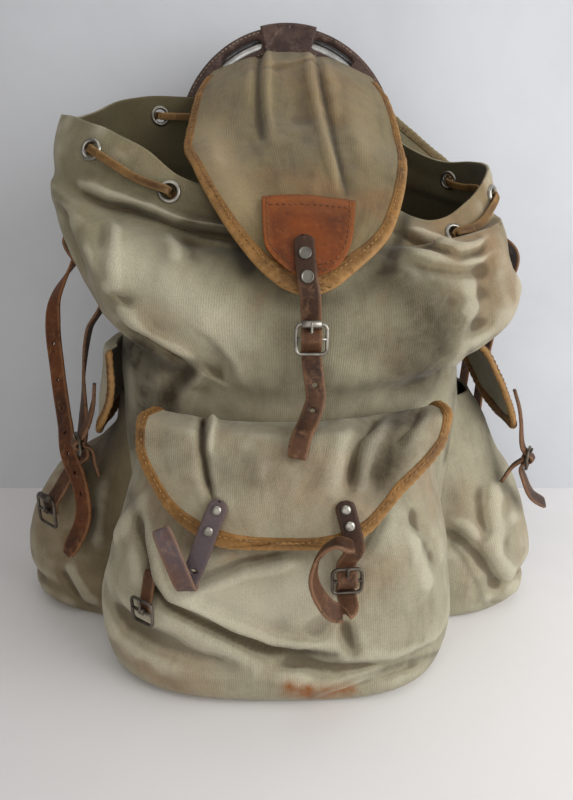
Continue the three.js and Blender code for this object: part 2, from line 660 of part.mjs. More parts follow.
const sideFold = (fold) => [
  fold.fromSide,
  fold.fromRow * FOLD_STEP.perFlapRow,
  fold.toSide,
  fold.toRow * FOLD_STEP.perFlapRow,
];
const topFlap = tableSheet(TOP_FLAP, (x, place) => {
  const row = rowAt(TOP_FLAP, place);
  const share = (x / TOP_FLAP_SPREAD) ** 2;
  const push = foldPush(TOP_FOLDS, x, place * FOLD_STEP.perFlapRow, sideFold) * Math.min(1, place * 3);
  return point(x, row.y + row.tuck * share - 0.6 * push, row.z - row.fall * share + 0.8 * push);
});
add("top_flap", sheetSolid(topFlap, FLAP_CANVAS, 10, 8), canvas);
add("top_flap_binding", bindingSolid(topFlap, sheetBorder(topFlap, 10, 3, 0.3)), trim);

const patchLift = FLAP_CANVAS / 2 + 2 * GAP + LEATHER / 2;
const patch = tableSheet(PATCH, (x, place) => lifted(topFlap, x, rowAt(PATCH, place).row, patchLift));
add("flap_patch", sheetSolid(patch, LEATHER, 6, 5), trim);

// The frame: one tube bent into an arch, two uprights and a lower bar that bows back

function framePath() {
  const path = [];
  for (const turn of range(-90, 90, FRAME.arcSteps)) {
    path.push(point(ARCH.radius * Math.sin(rad(turn)), ARCH.y, ARCH.z + ARCH.radius * Math.cos(rad(turn))));
  }
  const low = TUBE.radius;
  const corner = (side, turns) =>
    turns.map((turn) => point(
      side * (FRAME.foot - FRAME.corner * (1 - Math.cos(rad(turn)))),
      ARCH.y,
      low + FRAME.corner * (1 - Math.sin(rad(turn))),
    ));
  path.push(...corner(1, range(0, 90, FRAME.cornerSteps)));
  const reach = FRAME.foot - FRAME.corner;
  for (const share of range(1, -1, FRAME.barSteps).slice(1, -1)) {
    path.push(point(share * reach, ARCH.y + FRAME.bow * (1 - share * share), low));
  }
  path.push(...corner(-1, range(90, 0, FRAME.cornerSteps)));
  return path;
}
const frameTube = (radius) => barSolid(framePath(), radius, TUBE.sides, true, () => point(0, 1, 0));
add("frame_tube", frameTube(TUBE.radius), steel);

// A section of radius and depth swept round the arch between two angles.
function archSweep({ inner, outer, half, from, to, steps }) {
  const corners = [[inner, -half], [outer, -half], [outer, half], [inner, half]];
  return ringSolid(range(from, to, steps).map((turn) => corners.map(([radius, depth]) =>
    point(radius * Math.sin(rad(turn)), ARCH.y + depth, ARCH.z + radius * Math.cos(rad(turn))))));
}
let yoke = archSweep({ ...YOKE, from: -YOKE.reach, to: YOKE.reach });
for (const side of [-1, 1]) {
  const [from, to] = [side * YOKE_SLOT.from, side * YOKE_SLOT.to].sort((a, b) => a - b);
  yoke = yoke.subtract(archSweep({ ...YOKE_SLOT, half: 2 * YOKE.half, from, to }));
}
add("yoke", yoke.subtract(frameTube(TUBE.radius + GAP)), strapLeather);

// A block round the yoke's section, `grow` thicker than it and `past` longer than the loop.
function loopBand(grow, past = 0) {
  const section = { inner: YOKE.inner - grow, outer: YOKE.outer + grow, half: YOKE.half + grow };
  return archSweep({ ...section, from: LOOP.from - past, to: LOOP.to + past, steps: LOOP.steps });
}
add("arch_loop", loopBand(GAP + LOOP.skin).subtract(loopBand(GAP, 5)), strapLeather);

// The back panel that hangs the bag from the arch

const backPanel = tableSheet(
  BACK_PANEL.map((row) => ({ ...row, left: row.half, right: row.half })),
  (x, place) => {
    const row = rowAt(BACK_PANEL, place);
    const share = (x / row.half) ** 2;
    return point(x, row.y - row.bow * share, row.z - row.fall * share);
  },
);
const archParts = loopBand(2 * GAP + LOOP.skin);
const panelClear = sheetSolid(backPanel, FLAP_CANVAS + GAP, 6, 10);
add("back_panel", sheetSolid(backPanel, FLAP_CANVAS, 6, 10).subtract(bagHull).subtract(archParts), canvas);
for (const [name, side] of [["left", -1], ["right", 1]]) {
  const border = range(0.5, 3.2, 7).map((place) => ({ x: side * rowAt(BACK_PANEL, place).half, place }));
  const binding = bindingSolid(backPanel, border).subtract(bagHull).subtract(panelClear);
  add(`back_panel_binding_${name}`, binding, trim);
}

// Straps: a flat band along a few knots; `turn` is the heading of its width, 0 along +X and 90 along +Y

const heading = (turn) => point(Math.cos(rad(turn)), Math.sin(rad(turn)), 0);

function strapPath(knots) {
  const curve = new THREE.CatmullRomCurve3(knots.map((k) => point(k.x, k.y, k.z)), false, "centripetal");
  const columns = knots.map(({ turn, width }) => ({ turn, width }));
  return (share) => {
    const { turn, width } = rowAt(columns, share * (knots.length - 1));
    const along = curve.getTangent(share);
    const side = heading(turn).addScaledVector(along, -heading(turn).dot(along)).normalize();
    return { at: curve.getPoint(share), along, side, face: along.clone().cross(side).normalize(), width };
  };
}

// The band's own solid. Its last part narrows to `tip` of the width, and `holes` are shares of its length.
function strapSolid(knots, { steps, tip = 1, holes = [] }) {
  const path = strapPath(knots);
  const spots = range(0, 1, steps).map((share) => {
    const narrow = share > 1 - 1.5 / steps ? tip : 1;
    return { ...path(share), narrow };
  });
  const face = (lift) => spots.map(({ at, side, face: out, width, narrow }) =>
    [-0.5, 0.5].map((edge) =>
      at.clone().addScaledVector(side, edge * width * narrow).addScaledVector(out, lift)));
  let solid = gridSolid(face(LEATHER / 2), face(-LEATHER / 2));
  for (const share of holes) {
    const { at, face: out } = path(share);
    const turn = new THREE.Quaternion().setFromUnitVectors(point(0, 1, 0), out);
    const punch = new THREE.CylinderGeometry(HOLE.radius, HOLE.radius, 4 * LEATHER, HOLE.sides);
    solid = solid.subtract(fromGeometry(punch, new THREE.Matrix4().compose(at, turn, point(1, 1, 1))));
  }
  return solid;
}

// Knots from rows of a place and a heading, all of one width.
const band = (width, rows) => table("x y z turn", rows).map((row) => ({ ...row, width }));
const knotAt = (p, turn, width) => ({ x: p.x, y: p.y, z: p.z, turn, width });

// Buckles: a wire ring with a middle bar and a prong, upright, facing square to `turn`

const BAR_CLEAR = WIRE + 3 * GAP + LEATHER / 2; // strap to the bars it passes
const TAB_CLEAR = WIRE + GAP + LEATHER / 2; // tab to the bar it holds
const PRONG = WIRE * 0.6;

function buckleFrame({ x, y, z, turn }) {
  const side = heading(turn);
  const up = point(0, 0, 1);
  const face = side.clone().cross(up);
  const at = (across, rise, out) =>
    point(x, y, z).addScaledVector(side, across).addScaledVector(up, rise).addScaledVector(face, out);
  return { at, face };
}

function buckleSolid(seat) {
  const { at, face } = buckleFrame(seat);
  const half = seat.width / 2 + 2 * WIRE;
  const { reach } = seat;
  const cut = BUCKLE_CORNER;
  const lower = [[cut - half, -reach], [half - cut, -reach], [half, cut - reach], [half, reach - cut]];
  const corners = [...lower, ...lower.map(([across, rise]) => [-across, -rise])];
  const ring = barSolid(corners.map(([across, rise]) => at(across, rise, 0)), WIRE, 4, true, () => face);
  const bar = barSolid([at(-half, 0, 0), at(half, 0, 0)], WIRE * 0.9, 4, false, () => face);
  return ring.add(bar).add(prongSolid(seat, PRONG));
}

// The prong goes from the middle bar over the upper bar.
function prongSolid(seat, radius) {
  const { at, face } = buckleFrame(seat);
  return barSolid([at(0, 0, 0), at(0, seat.reach + 1, WIRE * 1.4)], radius, 4, false, () => face);
}

// The knots of a strap that goes behind the upper bar, over the middle bar and behind the lower bar.
function weave(seat) {
  const { at } = buckleFrame(seat);
  return [seat.reach, 0, -seat.reach].map((rise) =>
    knotAt(at(0, rise, rise ? -BAR_CLEAR : BAR_CLEAR), seat.turn, seat.width));
}

// A leather tab that ends behind a buckle's middle bar.
function tabSolid(seat, rest) {
  const { at } = buckleFrame(seat);
  const away = Math.sign(rest[0].z - seat.z);
  const held = [-2, 1].map((rise) => at(0, away * rise, -TAB_CLEAR));
  const knots = [...held, ...rest].map((p) => knotAt(p, seat.turn, seat.width - 2));
  return strapSolid(knots, { steps: 8 });
}

function rivetSolid({ at, face }, radius) {
  const profile = [[0, 0], [radius, 0], [radius * 0.75, radius * 0.4], [0, radius * 0.5]];
  const dome = new THREE.LatheGeometry(profile.map(([r, h]) => new THREE.Vector2(r, h)), RIVET.sides);
  const turn = new THREE.Quaternion().setFromUnitVectors(point(0, 1, 0), face);
  const seat = at.clone().addScaledVector(face, LEATHER / 2 + 1.5 * GAP);
  return fromGeometry(dome, new THREE.Matrix4().compose(seat, turn, point(1, 1, 1)));
}

// The flap strap: riveted to the patch, through its buckle and down over the front pocket

const strapLift = patchLift + LEATHER + 1.5 * GAP;
const FLAP_STRAP = 12.5; // width
const flapSeat = { x: 15, y: -119.6, z: 240, turn: 0, width: FLAP_STRAP, reach: 9 };
const flapStrapKnots = [
  knotAt(lifted(topFlap, 10, 4.25, strapLift), 0, FLAP_STRAP),
  knotAt(lifted(topFlap, 11, 4.9, strapLift), 0, FLAP_STRAP),
  knotAt(lifted(topFlap, 12.5, 5.6, strapLift + GAP), 0, FLAP_STRAP),
  knotAt(lifted(topFlap, 13.5, 6, strapLift + 3 * GAP), 0, FLAP_STRAP),
  ...weave(flapSeat),
  ...band(FLAP_STRAP, [
    [17, -116.5, 214, 0], [18, -118, 203, 0], [14, -126, 192, 0], [9, -138, 185, 0], [6, -147, 175, 0],
  ]),
];
const flapStrapPath = strapPath(flapStrapKnots);
const flapStrap = strapSolid(flapStrapKnots, { steps: 26, holes: [0.66, 0.78] });
add("flap_strap", flapStrap.subtract(prongSolid(flapSeat, PRONG + GAP)), strapLeather);
add("flap_buckle", buckleSolid(flapSeat), steel);
const flapTab = tabSolid(flapSeat, [point(15, -112.6, 231), point(16, -109, 218), point(16, -103, 210)]);
add("flap_buckle_tab", flapTab.subtract(bagHull), strapLeather);
add("flap_rivet_upper", rivetSolid(flapStrapPath(0.06), RIVET.large), steel);
add("flap_rivet_lower", rivetSolid(flapStrapPath(0.15), RIVET.large), steel);

// The front pocket's straps: the left one folds up on itself, the right one is buckled and curls round

// A point of a pouch moved out from its face.
function pouchLift(setting, angle, place, lift) {
  const along = pouchPoint(setting, angle + 1, place).sub(pouchPoint(setting, angle - 1, place));
  const up = pouchPoint(setting, angle, place + 0.05).sub(pouchPoint(setting, angle, place - 0.05));
  return pouchPoint(setting, angle, place).addScaledVector(along.cross(up).normalize(), lift);
}

const onFlap = FLAP_CANVAS / 2 + GAP * 2 + LEATHER / 2;
const onHem = onFlap + BINDING.clear + BINDING.skin + 2 * GAP;
const leftStrapKnots = [
  knotAt(lifted(frontFlap, -38, 3.85, onFlap), 0, 12),
  knotAt(lifted(frontFlap, -43, 4.35, onHem), 0, 12),
  knotAt(lifted(frontFlap, -48, 4.95, onHem), 0, 12),
  ...band(12, [
    [-54, -158, 111, 0], [-58, -158.5, 102, 0], [-59, -162, 97.5, 0],
    [-60, -165.5, 102, 0], [-66, -165, 120, 0], [-73, -161, 137, 0],
  ]),
];
const leftStrapPath = strapPath(leftStrapKnots);
add("pocket_strap_left", strapSolid(leftStrapKnots, { steps: 24, tip: 0.8, holes: [0.42] }), strapLeather);
add("pocket_rivet_left_upper", rivetSolid(leftStrapPath(0.05), RIVET.small), steel);
add("pocket_rivet_left_lower", rivetSolid(leftStrapPath(0.16), RIVET.small), steel);
const leftSeatAt = pouchLift(frontPocket, -42, 3.85, 6.2);
const leftSeat = { x: leftSeatAt.x, y: leftSeatAt.y, z: leftSeatAt.z, turn: -34, width: 12, reach: 8 };
add("pocket_buckle_left", buckleSolid(leftSeat), steel);
const leftTab = [4.2, 4.6].map((place) => pouchLift(frontPocket, -42, place, 1.9));
add("pocket_buckle_tab_left", tabSolid(leftSeat, leftTab), strapLeather);

const rightSeatAt = pouchLift(frontPocket, 18, 4.8, 9.6);
const rightSeat = { x: rightSeatAt.x, y: rightSeatAt.y, z: rightSeatAt.z, turn: 6, width: 12, reach: 8 };
const rightStrapKnots = [
  knotAt(lifted(frontFlap, 33, 3.85, onFlap), 0, 12),
  knotAt(lifted(frontFlap, 36, 4.35, onHem), 0, 12),
  knotAt(lifted(frontFlap, 39, 5, onHem), 0, 12),
  ...weave(rightSeat),
  ...band(12, [
    [37, -165, 86, 14], [28, -170, 87, 40], [19, -172, 99, 62], [15, -173, 113, 70],
    [19, -172, 127, 72], [28, -172, 134, 70], [38, -171, 131, 64],
  ]),
];
const rightStrapPath = strapPath(rightStrapKnots);
const rightStrap = strapSolid(rightStrapKnots, { steps: 32, tip: 0.8 });
add("pocket_strap_right", rightStrap.subtract(prongSolid(rightSeat, PRONG + GAP)), strapLeather);
add("pocket_rivet_right_upper", rivetSolid(rightStrapPath(0.03), RIVET.small), steel);
add("pocket_rivet_right_lower", rivetSolid(rightStrapPath(0.085), RIVET.small), steel);
add("pocket_buckle_right", buckleSolid(rightSeat), steel);
const rightTab = [4.6, 4.3].map((place) => pouchLift(frontPocket, 18, place, 1.8));
add("pocket_buckle_tab_right", tabSolid(rightSeat, rightTab), strapLeather);

// The side pockets' straps

const SIDE_STRAPS = [
  {
    name: "left",
    seat: { x: -155, y: -55, z: 149, turn: -60, width: 11, reach: 7 },
    flap: leftFlap,
    start: table("x place turn", [[30, 2.3, -74], [32, 2.9, -70]]),
    end: band(11, [[-150, -60, 137, -54]]),
    tab: [point(-147.8, -50.5, 143.5), point(-145, -53, 133), point(-142, -55, 123)],
  },
  {
    name: "right",
    seat: { x: 185, y: -45, z: 134, turn: 62, width: 11, reach: 7 },
    flap: rightFlap,
    start: table("x place turn", [[-30, 2.6, 74], [-30, 3.1, 71], [-30, 3.6, 68]]),
    end: band(11, [[184, -47, 116, 58], [193, -42, 102, 57], [208, -32, 90, 56]]),
    tab: [point(175.5, -42, 126), point(166, -47, 115)],
  },
];
const onBinding = FLAP_CANVAS / 2 + BINDING.clear + BINDING.skin + 3.6 * GAP + LEATHER / 2;
for (const { name, flap, seat, start, end, tab } of SIDE_STRAPS) {
  const held = start.map(({ x, place, turn }) =>
    knotAt(lifted(flap, x, place, onBinding), turn, seat.width));
  const sideStrap = strapSolid([...held, ...weave(seat), ...end], { steps: 24, tip: 0.8 });
  add(`side_strap_${name}`, sideStrap.subtract(prongSolid(seat, PRONG + GAP)), strapLeather);
  add(`side_buckle_${name}`, buckleSolid(seat), steel);
  add(`side_buckle_tab_${name}`, tabSolid(seat, tab), strapLeather);
}

// The shoulder straps with a roller buckle at the end, and the holed billets beside them

const KNOT = "x y z turn width";
const BILLET_HOLES = range(0.3, 0.78, 6);
const SHOULDER = [
  {
    name: "left",
    strap: table(KNOT, [
      [-46, 131.5, 424, 180, 30], [-72, 133.6, 398, 182, 30], [-104, 132.5, 366, 195, 28],
      [-138, 112, 332, 218, 24], [-167, 78, 304, 245, 20], [-182, 46, 290, 262, 17],
      [-152, 28, 247, 268, 16], [-163, 18, 222, 272, 16], [-166, 4, 190, 285, 16],
      [-163, -14, 163, 300, 16], [-161, -36, 139, 310, 16], [-172, -51, 114, 318, 16],
    ]),
    seat: { x: -181, y: -62, z: 98, turn: 320, width: 17, reach: 11 },
    billet: table(KNOT, [
      [-181, 52, 276, 268, 15], [-195, 38, 247, 318, 15], [-197, 30, 226, 338, 15],
      [-188, 6, 184, 330, 15], [-176, -22, 155, 322, 15], [-166, -46, 137, 326, 15],
      [-154, -62.5, 119, 330, 15], [-152, -69, 95, 332, 15], [-166, -71, 66, 328, 15],
    ]),
  },
  {
    name: "right",
    strap: table(KNOT, [
      [46, 131.5, 424, 180, 30], [72, 133.6, 398, 178, 30], [104, 132.5, 366, 165, 28],
      [140, 114, 332, 142, 24], [176, 88, 302, 115, 20], [199, 66, 280, 96, 17],
      [193, 74, 240, 95, 16], [188, 82, 190, 97, 16], [186, 86, 140, 98, 16],
      [186, 88, 98, 98, 16],
    ]),
    seat: { x: 189.5, y: 88, z: 84, turn: 98, width: 17, reach: 11 },
    billet: table(KNOT, [
      [194.4, 68.4, 266, 95.6, 15], [192.6, 71, 254, 95.4, 15], [185, 84, 230, 98, 15],
      [178, 97, 196, 100, 15], [175, 103, 140, 100, 15], [176, 104, 82, 100, 15],
    ]),
  },
];
for (const { name, strap, seat, billet } of SHOULDER) {
  const { at } = buckleFrame(seat);
  const held = [
    knotAt(at(0, 4, -BAR_CLEAR), seat.turn, seat.width - 1),
    knotAt(at(0, -2, -BAR_CLEAR), seat.turn, seat.width - 2),
  ];
  add(`shoulder_strap_${name}`, strapSolid([...strap, ...held], { steps: 26 }), strapLeather);
  add(`strap_buckle_${name}`, buckleSolid(seat), steel);
  add(`billet_${name}`, strapSolid(billet, { steps: 16, tip: 0.5, holes: BILLET_HOLES }), strapLeather);
}

// The origin is the middle of the floor under the whole pack
const box = new THREE.Box3().setFromObject(pack);
const middle = box.getCenter(point(0, 0, 0));
pack.position.set(-middle.x, -middle.y, -box.min.z);

export default pack;
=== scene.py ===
import bmesh
import bpy
import math
import numpy as np
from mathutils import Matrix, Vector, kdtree


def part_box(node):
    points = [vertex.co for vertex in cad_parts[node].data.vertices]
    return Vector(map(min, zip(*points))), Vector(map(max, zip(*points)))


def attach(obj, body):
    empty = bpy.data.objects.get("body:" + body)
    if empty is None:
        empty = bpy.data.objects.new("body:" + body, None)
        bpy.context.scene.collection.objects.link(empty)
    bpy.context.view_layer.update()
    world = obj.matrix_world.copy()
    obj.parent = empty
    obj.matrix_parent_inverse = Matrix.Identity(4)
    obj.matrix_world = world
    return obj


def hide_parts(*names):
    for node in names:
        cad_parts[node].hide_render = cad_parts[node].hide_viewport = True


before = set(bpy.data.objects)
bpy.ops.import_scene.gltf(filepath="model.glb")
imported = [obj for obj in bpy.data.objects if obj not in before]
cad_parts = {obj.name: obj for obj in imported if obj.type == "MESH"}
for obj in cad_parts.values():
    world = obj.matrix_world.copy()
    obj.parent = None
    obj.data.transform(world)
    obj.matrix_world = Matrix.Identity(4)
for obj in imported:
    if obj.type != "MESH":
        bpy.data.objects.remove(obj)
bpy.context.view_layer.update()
scene = bpy.context.scene

# The pack is drawn in millimetres from the middle between the uprights, as it was cut and sewn
tubeLow, tubeHigh = (np.array(corner) * 1000 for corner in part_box("frame_tube"))
tubeFront = 117.0  # where the front of the frame tube is drawn
shift = np.array([(tubeLow[0] + tubeHigh[0]) / 2, tubeLow[1] - tubeFront, 0.0])

view = dict(place=(0.0, -473.0, 307.0), pitch=16.5, lens=27.0, sensor=36.0, width=573, height=800)


def toMetres(points):
    return (np.asarray(points, float) + shift) / 1000


# camera

def makeCamera():
    data = bpy.data.cameras.new("camera")
    data.lens = view["lens"]
    data.sensor_width = view["sensor"]
    data.sensor_fit = "AUTO"
    data.clip_start = 0.01
    camera = bpy.data.objects.new("camera", data)
    camera.location = toMetres(view["place"])
    camera.rotation_euler = (math.radians(90 - view["pitch"]), 0, 0)
    scene.collection.objects.link(camera)
    scene.camera = camera


pitch = math.radians(view["pitch"])
lookAhead = np.array([0, math.cos(pitch), -math.sin(pitch)])
lookUp = np.array([0, math.sin(pitch), math.cos(pitch)])
focal = view["lens"] / view["sensor"] * view["height"]  # in pixels of the photo


def toPixels(points):
    away = points - np.array(view["place"])
    depth = away @ lookAhead
    return np.stack([view["width"] / 2 + focal * away[..., 0] / depth,
                     view["height"] / 2 - focal * (away @ lookUp) / depth], -1)


# tables: a row for each section, read at any place between the rows

def table(columns, rows):
    data = np.array(list(rows.values()), float)
    return {name: data[:, i] for i, name in enumerate(columns.split())}


def slope(a, b):
    return np.where(a * b > 0, 2 * a * b / np.where(a + b == 0, 1, a + b), 0)


# a smooth step from one row to the next, with the slopes at both ends
def hermite(t, start, rise, stop):
    return start * (t**3 - 2 * t**2 + t) + rise * (3 * t**2 - 2 * t**3) + stop * (t**3 - t**2)


def rowAt(rows, place):
    place = np.asarray(place, float)
    found = {}
    for name, column in rows.items():
        last = len(column) - 1
        i = np.clip(np.floor(place).astype(int), 0, last - 1)
        t = place - i
        ends = np.concatenate([[2 * column[0] - column[1]], column, [2 * column[-1] - column[-2]]])
        before, low, high, after = (ends[i + k] for k in range(4))
        rise = high - low
        start = slope(low - before, rise)
        stop = slope(rise, after - high)
        found[name] = low + hermite(t, start, rise, stop)
    return found


def lastRow(rows):
    return len(next(iter(rows.values()))) - 1


# distance from points to a bent line, signed by the side, and how far along it
def lineDistance(points, line):
    line = np.asarray(line, float)
    best = np.full(points.shape[:-1], 1e9)
    side = np.zeros(points.shape[:-1])
    share = np.zeros(points.shape[:-1])
    lengths = np.linalg.norm(np.diff(line, axis=0), axis=1)
    total = lengths.sum()
    walked = 0.0
    for a, b, length in zip(line[:-1], line[1:], lengths):
        run = (b - a) / length
        rel = points - a
        t = np.clip(rel @ run, 0, length)
        off = rel - t[..., None] * run
        distance = np.linalg.norm(off, axis=-1)
        near = distance < best
        best = np.where(near, distance, best)
        side = np.where(near, np.sign(run[0] * rel[..., 1] - run[1] * rel[..., 0]), side)
        share = np.where(near, (walked + t) / total, share)
        walked += length
    return best, side, share


def smooth(low, high, value):
    t = np.clip((value - low) / (high - low), 0, 1)
    return t * t * (3 - 2 * t)


# soft random hills, the same each run
def hills(points, size, seed, octaves=3):
    rng = np.random.default_rng(seed)
    total = np.zeros(points.shape[:-1])
    for octave in range(octaves):
        for _ in range(5):
            wave = rng.normal(size=3)
            wave *= 2 * np.pi * 2**octave / (size * np.linalg.norm(wave))
            total += np.sin(points @ wave + rng.uniform(0, 6.28)) / (2.2 * 1.7**octave)
    return total / 2


# flat facets with creases between them, as old canvas has
def crumple(points, size, seed):
    field = hills(points, size, seed, 2)
    other = hills(points + 0.12 * size * field[..., None], 0.8 * size, seed + 50, 2)
    return np.sqrt(field * field + 0.004) - np.sqrt(other * other + 0.004)


# the ripples of one cloth: soft hills, flat facets and small creases
def softRipple(points, wave):
    hill = wave["hill"] * hills(points, wave["hillSize"], wave["seed"], 2)
    facet = wave["facet"] * crumple(points, wave["facetSize"], wave["seed"] + 1)
    return hill + facet + wave["crease"] * crumple(points, wave["creaseSize"], wave["seed"] + 3)


# radius of an oval with squared corners
def ovalRadius(across, ahead, side, face, square):
    return (np.abs(across / side) ** square + np.abs(ahead / face) ** square) ** (-1 / square)


# folds of a table: straight strokes in angle and row, weaker at both ends
def tableFolds(folds, a, b, perA, perB):
    shape = np.broadcast(a, b).shape
    push, lift = np.zeros(shape), np.zeros(shape)
    for fromA, fromB, toA, toB, half, depth in folds.values():
        start = np.array([fromA * perA, fromB * perB])
        run = np.array([toA * perA, toB * perB]) - start
        relA = a * perA - start[0]
        relB = b * perB - start[1]
        t = np.clip((relA * run[0] + relB * run[1]) / (run @ run), 0, 1)
        away = np.hypot(relA - t * run[0], relB - t * run[1])
        fade = 1 - 0.75 * smooth(0.5, 1, np.abs(2 * t - 1))
        stroke = depth * fade * np.exp(-(away / half) ** 2)
        push, lift = np.minimum(push, stroke), np.maximum(lift, stroke)
    return push + lift


# grids of points

def along(grid, axis, around=False):
    if around:
        return np.roll(grid, -1, axis) - np.roll(grid, 1, axis)
    return np.gradient(grid, axis=axis)


def unit(vectors):
    return vectors / np.maximum(np.linalg.norm(vectors, axis=-1, keepdims=True), 1e-9)


def gridNormals(grid, around=False):
    return unit(np.cross(along(grid, 1, around), along(grid, 0)))


def blur(values, times, around=False):
    for _ in range(times):
        rows = np.concatenate([values[:1], values, values[-1:]])
        values = (rows[:-2] + 2 * rows[1:-1] + rows[2:]) / 4
        if around:
            values = (np.roll(values, 1, 1) + 2 * values + np.roll(values, -1, 1)) / 4
        else:
            cols = np.concatenate([values[:, :1], values, values[:, -1:]], 1)
            values = (cols[:, :-2] + 2 * cols[:, 1:-1] + cols[:, 2:]) / 4
    return values


# how far a wall faces the camera, from none to one
def facingView(grid, around, low, high):
    toward = unit(np.array(view["place"]) - grid)
    return smooth(low, high, (gridNormals(grid, around) * toward).sum(-1))


strokeEnd = 0.24  # share of a fold's length in which it fades out


# folds drawn along lines of the photo: a ridge or valley, or a step with one side raised
def drawFolds(grid, strokes, around=False, reach=0.15):
    push = np.zeros(grid.shape[:2])
    normals = gridNormals(grid, around)
    pixels = toPixels(grid)
    seen = facingView(grid, around, 0.0, reach)
    for line, half, depth, kind in strokes.values():
        distance, side, share = lineDistance(pixels, line)
        taper = smooth(0, strokeEnd, share) * smooth(0, strokeEnd, 1 - share)
        s = distance / half
        if kind == "step":  # the side on the left of the line's run stands proud
            shape = -side * s * np.exp(-s * s / 2) * 1.65
        else:
            shape = np.exp(-s * s)
        push += depth * shape * taper * seen
    return grid + normals * blur(push, 3, around)[..., None]


# smudges along lines of the photo: painted shade and grime above zero, painted light below
def drawShadeAndStains(grid, shadeAndStains, around=False):
    mark = np.zeros(grid.shape[:2])
    pixels = toPixels(grid)
    for line, half, strength in shadeAndStains.values():
        distance = lineDistance(pixels, line)[0]
        mark = mark + strength * np.exp(-(distance / half) ** 2)
    return np.clip(mark, -1, 1.5) * facingView(grid, around, -0.2, 0.1)


# meshes

def addMesh(name, points, faces, uvs=None, smoothFaces=True):
    mesh = bpy.data.meshes.new(name)
    mesh.from_pydata(toMetres(points).tolist(), [], [list(map(int, f)) for f in faces])
    if uvs is not None:
        layer = mesh.uv_layers.new(name="cloth")
        corners = np.zeros(len(mesh.loops), int)
        mesh.loops.foreach_get("vertex_index", corners)
        layer.data.foreach_set("uv", np.asarray(uvs, np.float32)[corners].ravel())
    mesh.polygons.foreach_set("use_smooth", np.full(len(mesh.polygons), smoothFaces))
    piece = bpy.data.objects.new(name, mesh)
    scene.collection.objects.link(piece)
    return piece


def gridFaces(rows, columns, around=False):
    i, j = np.meshgrid(np.arange(rows - 1), np.arange(columns if around else columns - 1), indexing="ij")
    a = (i * columns + j).ravel()
    b = (i * columns + (j + 1) % columns).ravel()
    return np.stack([a, b, b + columns, a + columns], -1)


def gridUvs(grid):
    across = np.linalg.norm(np.diff(grid, axis=1), axis=-1).mean(0)
    upward = np.linalg.norm(np.diff(grid, axis=0), axis=-1).mean(1)
    u = np.concatenate([[0], np.cumsum(across)]) / 1000
    v = np.concatenate([[0], np.cumsum(upward)]) / 1000
    return np.stack(np.meshgrid(u, v), -1).reshape(-1, 2)


def setValues(piece, name, values):
    attribute = piece.data.attributes.new(name, "FLOAT", "POINT")
    attribute.data.foreach_set("value", np.asarray(values, np.float32).ravel())


foldReach = 9  # how wide a hollow counts, in millimetres
foldDeep = 1.6  # how deep a full one is


# how far each point lies in a hollow (below zero) or on a ridge (above), near one at the deepest
def foldMark(grid, around):
    spacing = np.linalg.norm(np.diff(grid, axis=0), axis=-1).mean()
    times = int(np.clip((foldReach / spacing) ** 2, 4, 40))
    normals = gridNormals(blur(grid, 3, around), around)
    rise = ((grid - blur(grid, times, around)) * normals).sum(-1)
    return np.clip(rise / foldDeep, -1, 1)


def clothPiece(name, grid, thickness, node, slot, marks, around=False, inside=True,
               closeBase=False, holes=()):
    rows, columns = grid.shape[:2]
    faces = gridFaces(rows, columns, around)
    for at, radius in holes:
        middles = grid.reshape(-1, 3)[faces].mean(1)
        faces = faces[np.linalg.norm(middles - at, axis=1) > radius]
    faces = faces.tolist()
    if closeBase:
        faces.append(list(range(columns))[::-1])
    piece = addMesh(name, grid.reshape(-1, 3), faces, gridUvs(grid))
    for mark, values in dict(fold=foldMark(grid, around), **marks).items():
        setValues(piece, mark, values)
    skin = piece.modifiers.new("thickness", "SOLIDIFY")
    skin.thickness = thickness / 1000
    skin.offset = -1 if inside else 0
    skin.material_offset = 1 if inside else 0
    return place(piece, node, slot)


# every piece rides on the one body, stands for its node and takes a finish
def place(piece, node, slot, material=None):
    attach(piece, "root")
    if node:
        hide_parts(node)
    if material:
        piece.data.materials.append(material)
    return piece


print("kit ready")


# bag: one sewn wall from its base to its rim

